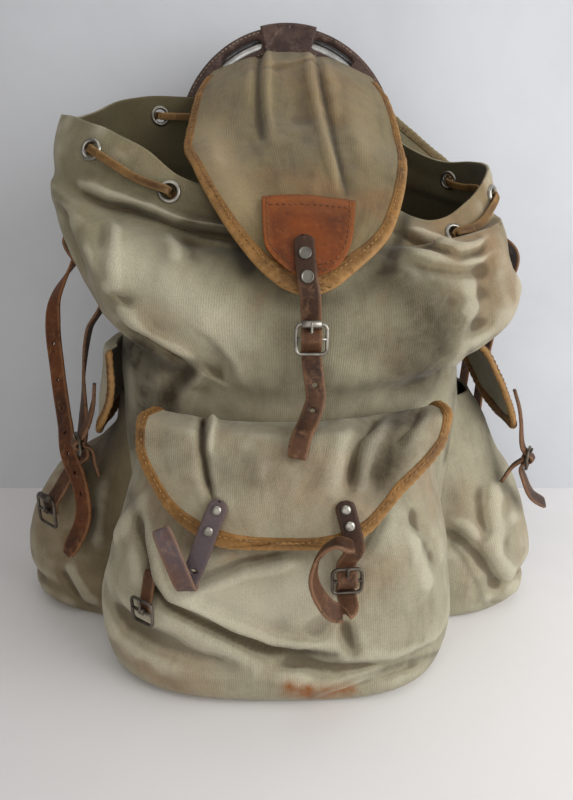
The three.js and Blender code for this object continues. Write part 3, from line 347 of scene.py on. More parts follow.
bag = dict(
    rows=table("zFront zLeft zRight zBack left right front back square", dict(
        base=(0, 0, 0, 0, 112, 110, 56, 80, 3.4),
        foot=(9, 9, 9, 9, 132, 130, 74, 92, 3.1),
        belly=(70, 80, 78, 72, 136, 137, 82, 97, 2.9),
        flank=(132, 168, 156, 140, 127, 133, 86, 98, 2.8),
        waist=(190, 238, 214, 200, 128, 134, 90, 98, 2.7),
        lip=(206, 256, 232, 222, 141, 158, 98, 98, 2.6),
        chest=(238, 290, 264, 262, 158, 167, 106, 97, 2.5),
        bust=(264, 318, 292, 305, 168, 163, 101, 95, 2.4),
        shoulder=(282, 335, 311, 345, 171, 158, 84, 93, 2.3),
        gather=(288, 342, 318, 360, 169, 154, 66, 91, 2.2),
        collar=(301, 357, 332, 380, 168, 154, 61, 90, 2.2),
        rim=(325, 378, 356, 412, 160, 148, 54, 87, 2.1))),
    folds=dict(  # from angle, from row, to angle, to row, half width, depth
        leftNotch=(-95, 4.2, -48, 4.1, 13, -9),
        rightNotch=(62, 4.1, 100, 4.2, 13, -8),
        shoulderDent=(-74, 7.6, -66, 5.6, 12, -9),
        leftChestRoll=(-60, 7.4, -44, 5.4, 13, 7),
        rightChestDent=(66, 7.2, 60, 5.2, 12, -9),
        rightHipRoll=(82, 6.2, 66, 5.2, 12, 6),
        frontHollow=(-22, 5.8, -30, 4.8, 14, -8),
        leftGather=(-62, 9, -30, 9, 9, -2.5),
        backHollow=(176, 3, 182, 7, 46, -6)),
    sags=dict(  # angle, half width, drop, from row
        frontLeft=(-70, 14, -11, 8.5), frontRight=(70, 15, 31, 8),
        backLeft=(-114, 18, -11, 9), backRight=(119, 22, 19, 9)),
    around=290, denseFrom=4, lowSteps=34, highSteps=126, spread=1.4, crowd=24,  # columns and rows of the mesh
    wall=2.0, perDegree=2.4, perRow=30, eyeletBelow=15, eyeletHole=6.0,
    eyeletAngles=(-16, -56, -74, -99, -124, -152, 160, 134, 110, 84, 70, 32),
    wave=dict(hill=1.0, hillSize=110, facet=1.5, facetSize=150, crease=0.5, creaseSize=50, seed=11),
    stillY=(30, 75), stillZ=(295, 325),  # where the back panel holds the wall still
    rimRows=0.55, rimOut=1.8, rimOutSize=42, rimUp=2.4, rimUpSize=60,  # the cut edge waves a little
    strokes=dict(  # line in pixels of the photo, half width in pixels, depth in millimetres, kind
        collarCrease=(((70, 184), (106, 200), (133, 206), (156, 214), (173, 222), (197, 228), (240, 234),
                       (275, 240)), 4, 7, "step"),
        collarPuff=(((73, 183), (95, 185), (111, 193), (133, 200)), 6, 3, "ridge"),
        leftPleat=(((111, 214), (108, 239), (106, 264), (108, 289)), 5, 4.5, "step"),
        leftFan=(((113, 213), (126, 228)), 5, -2, "ridge"),
        chestRoll=(((186, 268), (184, 249), (172, 226)), 9, 3, "step"),
        notchLip=(((113, 316), (156, 342), (198, 367)), 5, 6, "step"),
        notchBack=(((199, 368), (183, 385), (165, 408)), 5, 5, "step"),
        notchPit=(((106, 296), (120, 301), (134, 297)), 6, -8, "ridge"),
        rightHem=(((391, 225), (410, 234), (437, 245), (461, 253), (478, 249), (494, 234)), 3.5, 5, "step"),
        rightRoll=(((400, 252), (428, 253), (451, 255), (474, 258), (500, 264)), 5, 3, "ridge"),
        rightRollShade=(((400, 256), (428, 266), (458, 271), (502, 272)), 5, -4, "ridge"),
        rightDent=(((456, 290), (454, 312), (465, 331)), 11, -4, "ridge"),
        rightBulge=(((474, 300), (484, 322)), 14, 3, "ridge"),
        rightRidge=(((512, 307), (487, 331), (462, 347), (446, 370), (441, 390)), 6, 4, "ridge"),
        frontDent=(((340, 335), (369, 358), (390, 385)), 14, -2.5, "ridge"),
        frontWave=(((396, 355), (423, 355), (436, 375)), 9, 2, "ridge"),
        softSeam=(((206, 333), (231, 355), (252, 396)), 4, 1.2, "ridge"),
        chestDish=(((352, 262), (392, 318), (410, 372)), 34, -6, "ridge"),
        leftSwell=(((150, 262), (186, 300), (232, 330)), 26, 3.5, "ridge"),
    ),
    shadeAndStains=dict(  # line and half width in pixels of the photo, strength: painted shade and grime above zero, painted light below
        # painted shade under the flap, in the notch, along the creases and in the chest hollow, painted light
        # on the left bulge, with some grime
        chestRight=(((395, 285), (428, 300), (440, 335), (425, 372)), 28, 1.2),
        chestMiddle=(((325, 320), (360, 335), (400, 350)), 30, 0.5),
        underFlap=(((240, 262), (262, 292), (300, 302), (350, 294), (384, 272)), 11, 0.55),
        flapShadeLeft=(((198, 165), (216, 200), (238, 238), (248, 268)), 9, 1.4),
        flapShadeRight=(((406, 218), (400, 238), (390, 262)), 7, 1.5),
        leftBright=(((128, 262), (170, 290), (226, 334)), 28, -0.7),
        rightEdge=(((490, 290), (500, 330)), 14, 0.25),
        collarLine=(((86, 194), (106, 203), (133, 209), (156, 217), (173, 225), (197, 231),
                     (231, 236)), 3, 0.8),
        hemLine=(((393, 231), (412, 239), (437, 249), (461, 257), (480, 253)), 3, 0.7),
        collarBrown=(((95, 170), (150, 190), (215, 220)), 15, 0.5),
        notch=(((134, 350), (160, 362), (190, 372), (172, 390), (156, 424)), 12, 1.5),
        waistLeft=(((134, 352), (146, 385), (140, 440)), 15, 1.2),
        waist=(((210, 385), (300, 396), (400, 380)), 12, 0.35),
        rightSeam=(((471, 350), (455, 392), (446, 459)), 3, 0.8),
    ))


def bagPoint(angle, place):
    angle, place = np.broadcast_arrays(np.asarray(angle, float), np.asarray(place, float))
    row = rowAt(bag["rows"], place)
    across, ahead = np.sin(np.radians(angle)), np.cos(np.radians(angle))
    side = np.where(across > 0, row["right"], row["left"])
    face = np.where(ahead > 0, row["front"], row["back"])
    radius = ovalRadius(across, ahead, side, face, row["square"])
    share = (radius * across / side) ** 2
    turn = (angle + 540) % 360 - 180
    radius = radius + tableFolds(bag["folds"], turn, place, bag["perDegree"], bag["perRow"])
    wrapped = tableFolds(bag["folds"], turn + 360, place, bag["perDegree"], bag["perRow"])
    radius = radius + np.where(turn < -90, wrapped, 0)  # folds that cross the middle of the back
    height = (1 - share) * np.where(ahead > 0, row["zFront"], row["zBack"])
    height = height + share * np.where(across > 0, row["zRight"], row["zLeft"])
    for sagAngle, half, drop, fromRow in bag["sags"].values():
        depth = np.clip((place - fromRow) / (bagLast - fromRow), 0, 1)
        height = height - drop * depth * np.exp(-((turn - sagAngle) / half) ** 2)
    return np.stack([radius * across, -radius * ahead, height], -1)


def bagAngles():
    turn = np.radians(np.arange(bag["around"]) * 360 / bag["around"] - 180)
    turn = turn - np.radians(bag["crowd"]) * np.sin(turn)  # closer columns at the front
    return np.degrees(np.arctan2(bag["spread"] * np.sin(turn), np.cos(turn)))


bagLast = lastRow(bag["rows"])
bagPlaces = np.concatenate([np.linspace(0, bag["denseFrom"], bag["lowSteps"])[:-1],
                            np.linspace(bag["denseFrom"], bagLast, bag["highSteps"])])
baseFade = (2, 14)  # heights between which the ripples grow, so that the base stays flat


def makeBagGrid():
    grid = bagPoint(bagAngles()[None, :], bagPlaces[:, None])
    grid = drawFolds(grid, bag["strokes"], True)
    normals = gridNormals(grid, True)
    ripple = softRipple(grid, bag["wave"])
    free = 1 - smooth(*bag["stillY"], grid[..., 1]) * smooth(*bag["stillZ"], grid[..., 2])
    grid = grid + normals * (free * ripple * smooth(*baseFade, grid[..., 2]))[..., None]
    rimShare = free * smooth(bagLast - bag["rimRows"], bagLast, bagPlaces)[:, None]
    grid = grid + normals * (bag["rimOut"] * rimShare * hills(grid, bag["rimOutSize"], 18, 2))[..., None]
    grid[..., 2] += bag["rimUp"] * rimShare * hills(grid, bag["rimUpSize"], 17, 2)
    return grid


bagGrid = makeBagGrid()


def makeBag():
    holes = [(seat["at"] + seat["facing"] * bag["wall"] / 2, bag["eyeletHole"]) for seat in eyeletSeats()]
    marks = dict(stain=drawShadeAndStains(bagGrid, bag["shadeAndStains"], True))
    return clothPiece("bagBody", bagGrid, bag["wall"], "bag_body", "canvas", marks, True,
                      closeBase=True, holes=holes)


# pockets: half round pouches sewn to the bag

frontPocket = dict(
    name="frontPocket", node="front_pocket",
    rows=table("z dip left right out square", dict(
        seam=(0, 0, 70, 62, 48, 2.4), base=(0, 0, 124, 110, 140, 2.9), foot=(10, 0, 136, 121, 152, 3.0),
        low=(34, 0, 139, 124, 155, 3.0), sag=(74, 0, 133, 121, 153, 2.8), swell=(106, 2, 122, 115, 149, 2.7),
        upper=(142, 9, 111, 109, 134, 2.5), mouth=(180, 18, 99, 106, 113, 2.4))),
    folds=dict(
        sagLeft=(-64, 3.5, -12, 3.0, 7, -9), sagRight=(-12, 3.0, 58, 2.7, 7, -7),
        leftRoll=(-66, 4.5, -50, 6, 9, 6), rightDent=(52, 4.2, 46, 5.8, 10, -6)),
    root=40, shift=0, across=(1, 0, 0), out=(0, -1, 0), columns=264, steps=168,
    strokes=dict(
        sagFold=(((131, 495), (138, 522), (149, 559), (156, 584), (169, 601), (196, 613), (233, 631),
                  (270, 646), (296, 651), (335, 652), (352, 650)), 6, 7.5, "step"),
        leftGroove=(((133, 500), (140, 530), (150, 575)), 6, -5, "ridge"),
        lowBulge=(((170, 632), (250, 668), (330, 680)), 13, 3.5, "ridge"),
        rightCrease=(((304, 698), (344, 688), (377, 674), (413, 661), (446, 650)), 5.5, 3, "step"),
        rightPinch=(((342, 618), (349, 638), (357, 662)), 6, -4, "ridge"),
        rightHollow=(((306, 640), (326, 624), (348, 600)), 10, -3.5, "ridge"),
        strapHollow=(((358, 560), (374, 530), (384, 505)), 7, -4, "ridge"),
        cornerRoll=(((415, 520), (420, 560), (428, 600)), 9, 2.5, "ridge"),
        leftEdge=(((109, 545), (107, 596), (116, 650)), 7, 3, "ridge"),
        handFold=(((157, 587), (190, 589), (242, 568), (310, 554)), 6, -3.5, "step"),
    ),
    # painted shade under the sag fold, along its creases and by the buckle, painted light across the middle,
    # with some grime
    shadeAndStains=dict(
        middleBright=(((200, 600), (262, 604), (310, 596)), 32, -0.9),
        rightGrey=(((395, 560), (412, 620)), 26, 0.12),
        sagShade=(((150, 590), (200, 625), (265, 650), (336, 658)), 8, 0.5),
        sagLine=(((150, 582), (168, 605), (206, 623), (265, 647), (336, 655)), 3, 0.7),
        lowLine=(((310, 697), (359, 678), (406, 662), (447, 650)), 3, 0.7),
        groove=(((131, 495), (140, 530), (154, 587)), 6, 0.8),
        ringShade=(((352, 575), (372, 550)), 16, 0.35),
        pinch=(((345, 630), (354, 652)), 7, 0.6),
        underHem=(((190, 545), (265, 553), (312, 556)), 6, 0.5),
        lowLeft=(((175, 640), (215, 660)), 18, -0.15),
    ),
    rusts=dict(first=(((288, 688), (308, 691)), 7, 1.0), second=(((322, 692), (350, 688)), 7, 1.0)))
sideRows = dict(  # height, half width, reach on the left, reach on the right, squareness
    seam=(0, 34, 90, 90, 2.3), base=(0, 64, 198, 188, 2.6), foot=(14, 72, 218, 206, 2.6),
    low=(42, 73, 222, 210, 2.6), swell=(76, 71, 215, 203, 2.5), upper=(106, 67, 198, 190, 2.4),
    neck=(132, 62, 158, 173, 2.3), throat=(158, 56, 138, 161, 2.2), mouth=(180, 50, 134, 148, 2.2))


def pocketRows(side):
    return table("z dip left right out square", {
        name: (row[0], 0, row[1], row[1], row[side], row[4]) for name, row in sideRows.items()})


sideFolds = dict(outerDent=(-8, 3.2, 10, 5, 12, -8), lowCrease=(-50, 2.6, 40, 2.4, 7, -5))
leftPocket = dict(
    name="sidePocketLeft", node="side_pocket_left", rows=pocketRows(2), folds=sideFolds,
    root=96, shift=-8, across=(0, -1, 0), out=(-1, 0, 0), columns=156, steps=116,
    strokes=dict(
        hipCrease=(((96, 500), (85, 530), (62, 548)), 6, -4, "ridge"),
        lowFold=(((60, 560), (85, 600), (104, 610)), 5, 4, "step"),
        flank=(((110, 470), (100, 510), (98, 560)), 7, 3, "ridge")),
    # painted shade where the pocket meets the bag and low down
    shadeAndStains=dict(
        inner=(((118, 440), (108, 500), (104, 560)), 16, 0.8),
        low=(((60, 590), (100, 610)), 16, 0.4)),
    rusts={})
rightPocket = dict(
    leftPocket, name="sidePocketRight", node="side_pocket_right", rows=pocketRows(3),
    root=94, shift=8, across=(0, 1, 0), out=(1, 0, 0),
    strokes=dict(
        overFold=(((438, 518), (463, 533), (485, 554), (500, 576), (508, 602)), 7, 5, "step"),
        tongue=(((489, 475), (486, 506), (489, 528), (484, 560)), 6, 3, "step"),
        tongueEdge=(((518, 506), (494, 543), (484, 556)), 7, 2, "ridge"),
        seamLine=(((451, 542), (464, 559), (478, 585), (478, 604), (490, 618)), 2, -1.6, "ridge"),
        footPinch=(((487, 599), (497, 607), (495, 621)), 4, -4, "ridge")),
    # painted shade along the seam and under the fold
    shadeAndStains=dict(
        seam=(((451, 542), (464, 559), (478, 585), (490, 618)), 3, 0.6),
        under=(((452, 500), (460, 540)), 12, 0.4)))
pouch = dict(  # degrees to each side, millimetres back for each degree past the side, lowest height
    turn=100, tuck=1.4, floor=0.1,
    wave=dict(hill=0.8, hillSize=100, facet=1.4, facetSize=130, crease=0.45, creaseSize=45, seed=21))


def pouchPoint(pocket, angle, place):
    angle, place = np.broadcast_arrays(np.asarray(angle, float), np.asarray(place, float))
    row = rowAt(pocket["rows"], place)
    turn = np.clip(angle, -90, 90)
    across, ahead = np.sin(np.radians(turn)), np.cos(np.radians(turn))
    reach = np.maximum(row["out"] - pocket["root"], 1)
    side = np.where(across > 0, row["right"], row["left"])
    radius = ovalRadius(across, ahead, side, reach, row["square"])
    radius = radius + tableFolds(pocket["folds"], turn, place, bag["perDegree"], bag["perRow"])
    behind = (np.abs(angle) - np.abs(turn)) * pouch["tuck"]
    a = pocket["shift"] + radius * across
    o = pocket["root"] + radius * ahead - behind
    at = a[..., None] * np.array(pocket["across"]) + o[..., None] * np.array(pocket["out"])
    at[..., 2] = row["z"] - row["dip"] * ahead ** 2
    return at


def makePocket(pocket):
    angles = np.linspace(-pouch["turn"], pouch["turn"], pocket["columns"])
    places = np.linspace(0, lastRow(pocket["rows"]), pocket["steps"])
    grid = pouchPoint(pocket, angles[None, :], places[:, None])
    grid = drawFolds(grid, pocket["strokes"])
    ripple = softRipple(grid, pouch["wave"])
    grid = grid + gridNormals(grid) * (ripple * smooth(*baseFade, grid[..., 2]))[..., None]
    grid[..., 2] = np.maximum(grid[..., 2], pouch["floor"])
    marks = dict(stain=drawShadeAndStains(grid, pocket["shadeAndStains"]), rust=drawShadeAndStains(grid, pocket["rusts"]))
    return clothPiece(pocket["name"], grid, bag["wall"], pocket["node"], "canvas", marks)


# flaps: sheets of canvas known by a side step and a row, made with the hem as the first row

# how far a round end draws the sides of a sheet in
def roundInset(sheet, places):
    fromRow = lastRow(sheet["rows"]) - sheet["roundRows"]
    ending = np.clip((places - fromRow) / sheet["roundRows"], 0, 1)
    return sheet["roundEnd"] * (1 - np.sqrt(1 - ending ** 2))


def sheetGrid(sheet):
    places = np.linspace(lastRow(sheet["rows"]), 0, sheet["steps"])[:, None]
    row = rowAt(sheet["rows"], places)
    inset = roundInset(sheet, places)
    even = np.linspace(0, 1, sheet["columns"])
    share = ((1 - np.cos(np.pi * even)) / 2 + even) / 2  # closer columns at both edges
    left, right = -row["left"] + inset, row["right"] - inset
    x = left + (right - left) * share[None, :]
    return sheet["at"](x, np.broadcast_to(places, x.shape))


def lifted(at, x, place, lift):
    x, place = np.asarray(x, float), np.asarray(place, float)
    across = at(x + 1, place) - at(x - 1, place)
    run = at(x, place + 0.02) - at(x, place - 0.02)
    return at(x, place) + unit(np.cross(run, across)) * lift


flapSquare = 2.4  # how square a flap bends round its pocket


def curveOut(x, row, out):
    bend = (1 - np.abs(x / row["wide"]) ** flapSquare) ** (1 / flapSquare)
    return row["root"] + (out - row["root"]) * bend


def frontFlapAt(x, place):
    row = rowAt(frontFlap["rows"], place)
    height = row["z"] - row["dip"] * (1 - (x / row["wide"]) ** 2)
    return np.stack([x, -curveOut(x, row, row["out"]), height], -1)


frontFlap = dict(
    name="frontPocketFlap", node="front_pocket_flap", at=frontFlapAt,
    steps=110, columns=180, roundEnd=16, roundRows=0.8,
    rows=table("z dip out root wide left right", dict(
        seam=(190, 14, 86, 60, 130, 84, 98), top=(199, 18, 106, 64, 130, 88, 102),
        bend=(195, 13, 127, 62, 130, 93, 105), face=(176, 5, 143, 58, 128, 92, 98),
        low=(146, 0, 154, 54, 126, 76, 64), hem=(122, 0, 158, 50, 125, 50, 46))),
    strokes=dict(
        dartRoll=(((200, 384), (213, 402), (212, 426), (206, 460)), 3.4, 5, "ridge"),
        dartGroove=(((207, 384), (204, 410), (202, 449), (206, 478), (216, 512)), 2.8, -8, "ridge"),
        sagLeft=(((216, 400), (240, 410), (272, 420), (300, 424)), 8, -3, "ridge"),
        earRidge=(((354, 500), (359, 466), (368, 441), (388, 408)), 5, -3.5, "step"),
        earGroove=(((363, 419), (352, 449), (348, 491)), 6, -3, "ridge"),
        earHollow=(((423, 404), (413, 422), (397, 448)), 6, -4.5, "ridge"),
        sideSag=(((219, 444), (252, 466)), 8, -1.6, "ridge"),
        middleSwell=(((250, 470), (310, 480)), 22, 2, "ridge"),
        rightDish=(((395, 405), (385, 450), (372, 490)), 18, -4, "ridge"),
    ),
    # painted shade in the right ear's hollow, along the dart and across the middle, with some grime
    shadeAndStains=dict(
        right=(((402, 412), (392, 442), (378, 480)), 24, 1.3),
        middle=(((225, 470), (275, 470), (310, 480)), 26, 0.45),
        dart=(((205, 400), (202, 449), (208, 484)), 3, 1.4), left=(((165, 440), (190, 465)), 20, 0.35),
        ears=(((364, 420), (352, 450), (350, 490)), 9, 0.4)))


def sideFlapAt(sheet):
    def at(x, place):
        row = rowAt(sheet["rows"], place)
        out = curveOut(x, row, row["out"])
        return np.stack([sheet["sign"] * out, sheet["sign"] * (x + sheet["shift"]), row["z"] + 0 * x], -1)
    return at


sideFlap = dict(steps=70, columns=90, roundEnd=13, roundRows=0.7)
leftFlap = dict(
    sideFlap, name="sidePocketFlapLeft", node="side_pocket_flap_left", sign=-1, shift=2,
    rows=table("z out root wide left right", dict(
        seam=(224, 126, 96, 76, 44, 52), top=(220, 137, 88, 76, 46, 58), slope=(196, 142, 84, 76, 48, 62),
        face=(172, 146, 84, 76, 44, 58), hem=(150, 149, 88, 76, 28, 38))),
    strokes=dict(middle=(((112, 400), (104, 440), (102, 480)), 9, 2, "ridge")))
rightFlap = dict(
    sideFlap, name="sidePocketFlapRight", node="side_pocket_flap_right", sign=1, shift=-2,
    rows=table("z out root wide left right", dict(
        seam=(224, 128, 112, 74, 44, 44), top=(220, 146, 114, 74, 46, 46), slope=(196, 164, 114, 74, 48, 48),
        face=(172, 176, 112, 74, 44, 44), hem=(150, 182, 110, 74, 28, 28))),
    strokes=dict(middle=(((468, 420), (486, 440), (500, 470)), 8, 2, "ridge")))
leftFlap["at"] = sideFlapAt(leftFlap)
rightFlap["at"] = sideFlapAt(rightFlap)

topFolds = dict(  # from side step, from row, to side step, to row, half width, depth
    leftPleat=(-22, 0, -26, 1.6, 9, 1.5), rightPleat=(24, 0.1, 50, 2.8, 14, 2.5),
    middleHollow=(0, 0.6, 12, 2.4, 18, -4))


def topFlapAt(x, place):
    x, place = np.broadcast_arrays(np.asarray(x, float), np.asarray(place, float))
    row = rowAt(topFlap["rows"], place)
    share = (x / topFlap["spread"]) ** 2
    push = tableFolds(topFolds, x, place, 1, topFlap["perRow"]) * np.clip(place * 3, 0, 1)
    y = row["y"] + row["tuck"] * share - topFlap["foldAhead"] * push
    z = row["z"] - row["fall"] * share + topFlap["foldUp"] * push
    return np.stack([x, y, z], -1)


topFlap = dict(
    name="topFlap", node="top_flap", at=topFlapAt, steps=150, columns=110, roundEnd=9, roundRows=0.5,
    spread=84, perRow=60, foldAhead=0.6, foldUp=0.8,
    rows=table("y z fall tuck left right", dict(
        arch=(111.7, 448, 26, 2, 64, 74), saddle=(62, 424, 24, 6, 73, 84), cover=(4, 381, 22, 6, 74, 86),
        rim=(-50, 347, 14, 4, 60, 79), front=(-96, 304, 10, 10, 34, 62), low=(-110, 280, 4, 12, 14, 40),
        tip=(-114, 266, 2, 6, -4, 22))),
    strokes=dict(
        rightPleat=(((345, 203), (334, 160), (325, 123), (318, 90), (310, 40)), 3.6, 5.5, "step"),
        leftPleat=(((265, 40), (262, 84), (263, 112), (268, 150)), 3.6, 5.5, "step"),
        middleRoll=(((278, 76), (282, 112), (276, 160)), 10, 2, "ridge"),
        tabSeam=(((250, 71), (288, 67), (322, 58)), 1.8, 1.3, "step"),
        leftHollow=(((214, 160), (240, 152), (262, 140)), 11, -2.5, "ridge"),
        rightHollow=(((334, 110), (346, 145), (356, 176)), 10, -3, "ridge"),
        frontSwell=(((268, 180), (300, 190), (330, 186)), 14, 1.5, "ridge"),
    ),
    # painted light on both sides, painted shade in the hollows and along the pleats and the tab seam
    shadeAndStains=dict(
        leftBright=(((212, 135), (228, 175), (244, 205)), 20, -1.0),
        rightBright=(((362, 110), (365, 145)), 16, -0.4),
        hollow=(((280, 130), (300, 170)), 20, 0.4), fold=(((345, 150), (352, 190)), 9, 0.4),
        leftPleatLine=(((260, 60), (258, 90), (259, 116), (264, 140)), 2.5, 0.8),
        rightPleatLine=(((316, 66), (322, 92), (330, 126), (338, 158), (347, 196)), 2.5, 0.8),
        tabLine=(((264, 69), (288, 66), (312, 60)), 1.6, 0.6)))
backPanelRows = table("z y bow fall half", dict(
    seam=(336, 88, 34, 0, 139), low=(352, 97, 31, 2, 139), middle=(384, 105, 13, 8, 117),
    upper=(420, 111, 3, 16, 86), arch=(444, 113.4, 0, 22, 66)))


def backPanelAt(x, place):
    row = rowAt(backPanelRows, place)
    share = (x / row["half"]) ** 2
    return np.stack([x, row["y"] - row["bow"] * share, row["z"] - row["fall"] * share], -1)


backPanel = dict(
    name="backPanel", node="back_panel", at=backPanelAt, steps=60, columns=120, roundEnd=0, roundRows=1,
    rows=dict(backPanelRows, left=backPanelRows["half"], right=backPanelRows["half"]), strokes={},
    stillRows=26, clear=2.2, boundFrom=47, boundTo=7)
flapCloth = 1.8
flapWave = dict(
    share=0.8, hill=0.8, hillSize=100, facet=1.0, facetSize=110, crease=0.4, creaseSize=40, seed=31)


# push a sheet out of the bag's wall where it would dip into it
def keepOutside(grid, clear, near=14):
    wall = bagGrid.reshape(-1, 3)
    facing = gridNormals(bagGrid, True).reshape(-1, 3)
    tree = kdtree.KDTree(len(wall))
    for i, point in enumerate(wall):
        tree.insert(point, i)
    tree.balance()
    push = np.zeros(grid.shape)
    for spot in np.ndindex(grid.shape[:2]):
        _, i, away = tree.find(grid[spot])
        short = clear - (grid[spot] - wall[i]) @ facing[i]
        if away < near and short > 0:
            push[spot] = facing[i] * short
    return grid + blur(push, 2)


def makeFlap(sheet):
    grid = sheetGrid(sheet)
    wave = flapWave["share"]
    if sheet is backPanel:
        grid = grid[::-1]  # its seam is the low edge, and lies flat
        wave = wave * smooth(0, sheet["stillRows"], np.arange(len(grid)))[:, None]
    grid = drawFolds(grid, sheet["strokes"])
    grid = grid + gridNormals(grid) * (wave * softRipple(grid, flapWave))[..., None]
    if sheet is backPanel:
        grid = keepOutside(grid, sheet["clear"])
    sheet["grid"] = grid
    marks = dict(stain=drawShadeAndStains(grid, sheet.get("shadeAndStains", {})))
    piece = clothPiece(sheet["name"], grid, flapCloth, sheet["node"], "canvas", marks, inside=False)
    return piece


# places on a grid between its points

def sampleGrid(grid, r, c, around=False):
    rows, columns = grid.shape[:2]
    r = np.clip(r, 0, rows - 1.0001)
    i = np.floor(r).astype(int)
    if not around:
        c = np.clip(c, 0, columns - 1.0001)
    j = np.floor(c).astype(int)
    s, t = (r - i)[..., None], (c - j)[..., None]
    j, k = j % columns, (j + 1) % columns
    low = (1 - t) * grid[i, j] + t * grid[i, k]
    high = (1 - t) * grid[i + 1, j] + t * grid[i + 1, k]
    return (1 - s) * low + s * high


def stepOnGrid(grid, r, c, step):
    up = sampleGrid(np.gradient(grid, axis=0), r, c)
    across = sampleGrid(np.gradient(grid, axis=1), r, c)
    aa, bb, ab = (across * across).sum(-1), (up * up).sum(-1), (across * up).sum(-1)
    det = np.maximum(aa * bb - ab * ab, 1e-6)
    sa, sb = (step * across).sum(-1), (step * up).sum(-1)
    return r + (sb * aa - sa * ab) / det, c + (sa * bb - sb * ab) / det


def walkedAlong(points):
    return np.concatenate([[0], np.cumsum(np.linalg.norm(np.diff(points, axis=0), axis=1))])


def evenly(points, spacing):
    walked = walkedAlong(points)
    count = max(int(walked[-1] / spacing), 3)
    return walked, np.linspace(0, walked[-1], count + 1)


# faces between rings of points, with a cap at both ends of an open run
def ringFaces(count, around, closed=False):
    i, j = np.meshgrid(np.arange(count if closed else count - 1), np.arange(around), indexing="ij")
    ring, following, beside = i * around, (i + 1) % count * around, (j + 1) % around
    sides = np.stack([ring + j, ring + beside, following + beside, following + j], -1)
    faces = sides.reshape(-1, 4).tolist()
    if not closed:
        faces.append(list(range(around))[::-1])
        faces.append(list(range((count - 1) * around, count * around)))
    return faces


# a ring of section points at each place of a run, joined and capped
def sweepMesh(name, rings, closed=False, values=None):
    length = walkedAlong(rings.mean(1)) / 1000
    girth = walkedAlong(rings[0]) / 1000
    uvs = np.stack(np.meshgrid(girth, length), -1).reshape(-1, 2)
    piece = addMesh(name, rings.reshape(-1, 3), ringFaces(*rings.shape[:2], closed), uvs)
    for mark, marks in (values or {}).items():
        setValues(piece, mark, marks)
    tidyNormals(piece)
    return piece


def tidyNormals(piece):
    work = bmesh.new()
    work.from_mesh(piece.data)
    bmesh.ops.recalc_face_normals(work, faces=work.faces)
    work.to_mesh(piece.data)
    work.free()


# stitches, gathered while the pieces are made and joined by thread at the end

threads = {}
stitch = dict(
    long=2.5, radius=0.36, flat=1.15, pitch=3.8, sides=6, aim=0.8,
    stations=((-0.5, 0.25, -0.5), (-0.38, 0.85, 0.0), (0.0, 1.0, 0.25),  # along, thickness, lift
              (0.38, 0.85, 0.0), (0.5, 0.25, -0.5)))


def sewAlong(thread, points, normals):
    points, normals = np.asarray(points), np.asarray(normals)
    walked, spots = evenly(points, stitch["pitch"])
    spots = spots[:-1] + stitch["pitch"] / 2

    def readAt(values, ahead=0.0):
        return np.stack([np.interp(spots + ahead, walked, values[:, k]) for k in range(3)], -1)

    run = unit(readAt(points, stitch["aim"]) - readAt(points, -stitch["aim"]))
    threads.setdefault(thread, []).append((readAt(points), run, unit(readAt(normals))))


def sewnMesh(thread, material, slot):
    at, run, out = (np.concatenate(parts) for parts in zip(*threads[thread]))
    side = np.cross(run, out) * stitch["flat"]
    turns = np.linspace(0, 2 * np.pi, stitch["sides"], endpoint=False)
    rings = []
    for reach, thick, lift in stitch["stations"]:
        middle = at + run * reach * stitch["long"] + out * lift * stitch["radius"]
        radius = stitch["radius"] * thick
        rings += [middle + radius * (np.cos(t) * side + np.sin(t) * out) for t in turns]
    one = ringFaces(len(stitch["stations"]), stitch["sides"])
    faces = [[v + k * len(rings) for v in face] for k in range(len(at)) for face in one]
    piece = addMesh(thread, np.stack(rings, 1).reshape(-1, 3), faces)
    tidyNormals(piece)
    return place(piece, None, slot, material)


# bindings: leather folded over a cut edge and sewn through

def mirrored(half):
    return tuple((reach, -lift) for reach, lift in half[::-1])


bindingHalf = (  # reach from the edge, lift off the cloth
    (5.3, 0.5), (5.1, 1.5), (4.4, 1.75), (3.5, 1.6), (2.6, 1.9), (1.4, 2.1), (0.2, 1.95), (-0.9, 1.35))
bindingSection = (*bindingHalf, (-1.4, 0.0), *mirrored(bindingHalf))
binding = dict(
    sewnAt=3.5, sewnLift=2.0, step=1.6, worn=(3, -1.6),
    pucker=0.42, puckerLong=5.4, puckerFrom=3, wander=0.25, wanderLong=(9.0, 4.1))


def edgeRun(grid, fromRow, sides="both", toRow=0):
    columns = grid.shape[1]
    down = np.arange(fromRow, toRow - 1, -1.0)
    across = np.arange(1, columns - 1.0)
    if sides == "both":
        r = np.concatenate([down, 0 * across, down[::-1]])
        c = np.concatenate([0 * down, across, 0 * down + columns - 1])
    elif sides == "left":
        r, c = down, 0 * down
    else:
        r, c = down[::-1], 0 * down + columns - 1
    walked, spots = evenly(sampleGrid(grid, r, c), binding["step"])
    return np.interp(spots, walked, r), np.interp(spots, walked, c), spots


def edgeInward(grid, r, c):
    normals = unit(sampleGrid(gridNormals(grid), r, c))
    run = np.gradient(sampleGrid(grid, r, c), axis=0)
    for _ in range(3):
        run[1:-1] = (run[:-2] + 2 * run[1:-1] + run[2:]) / 4
    return unit(np.cross(normals, unit(run)))


def onEdge(grid, normals, r, c, inward, reach):
    if reach <= 0:
        return sampleGrid(grid, r, c) + inward * reach, unit(sampleGrid(normals, r, c))
    r2, c2 = stepOnGrid(grid, r, c, inward * reach)
    return sampleGrid(grid, r2, c2), unit(sampleGrid(normals, r2, c2))


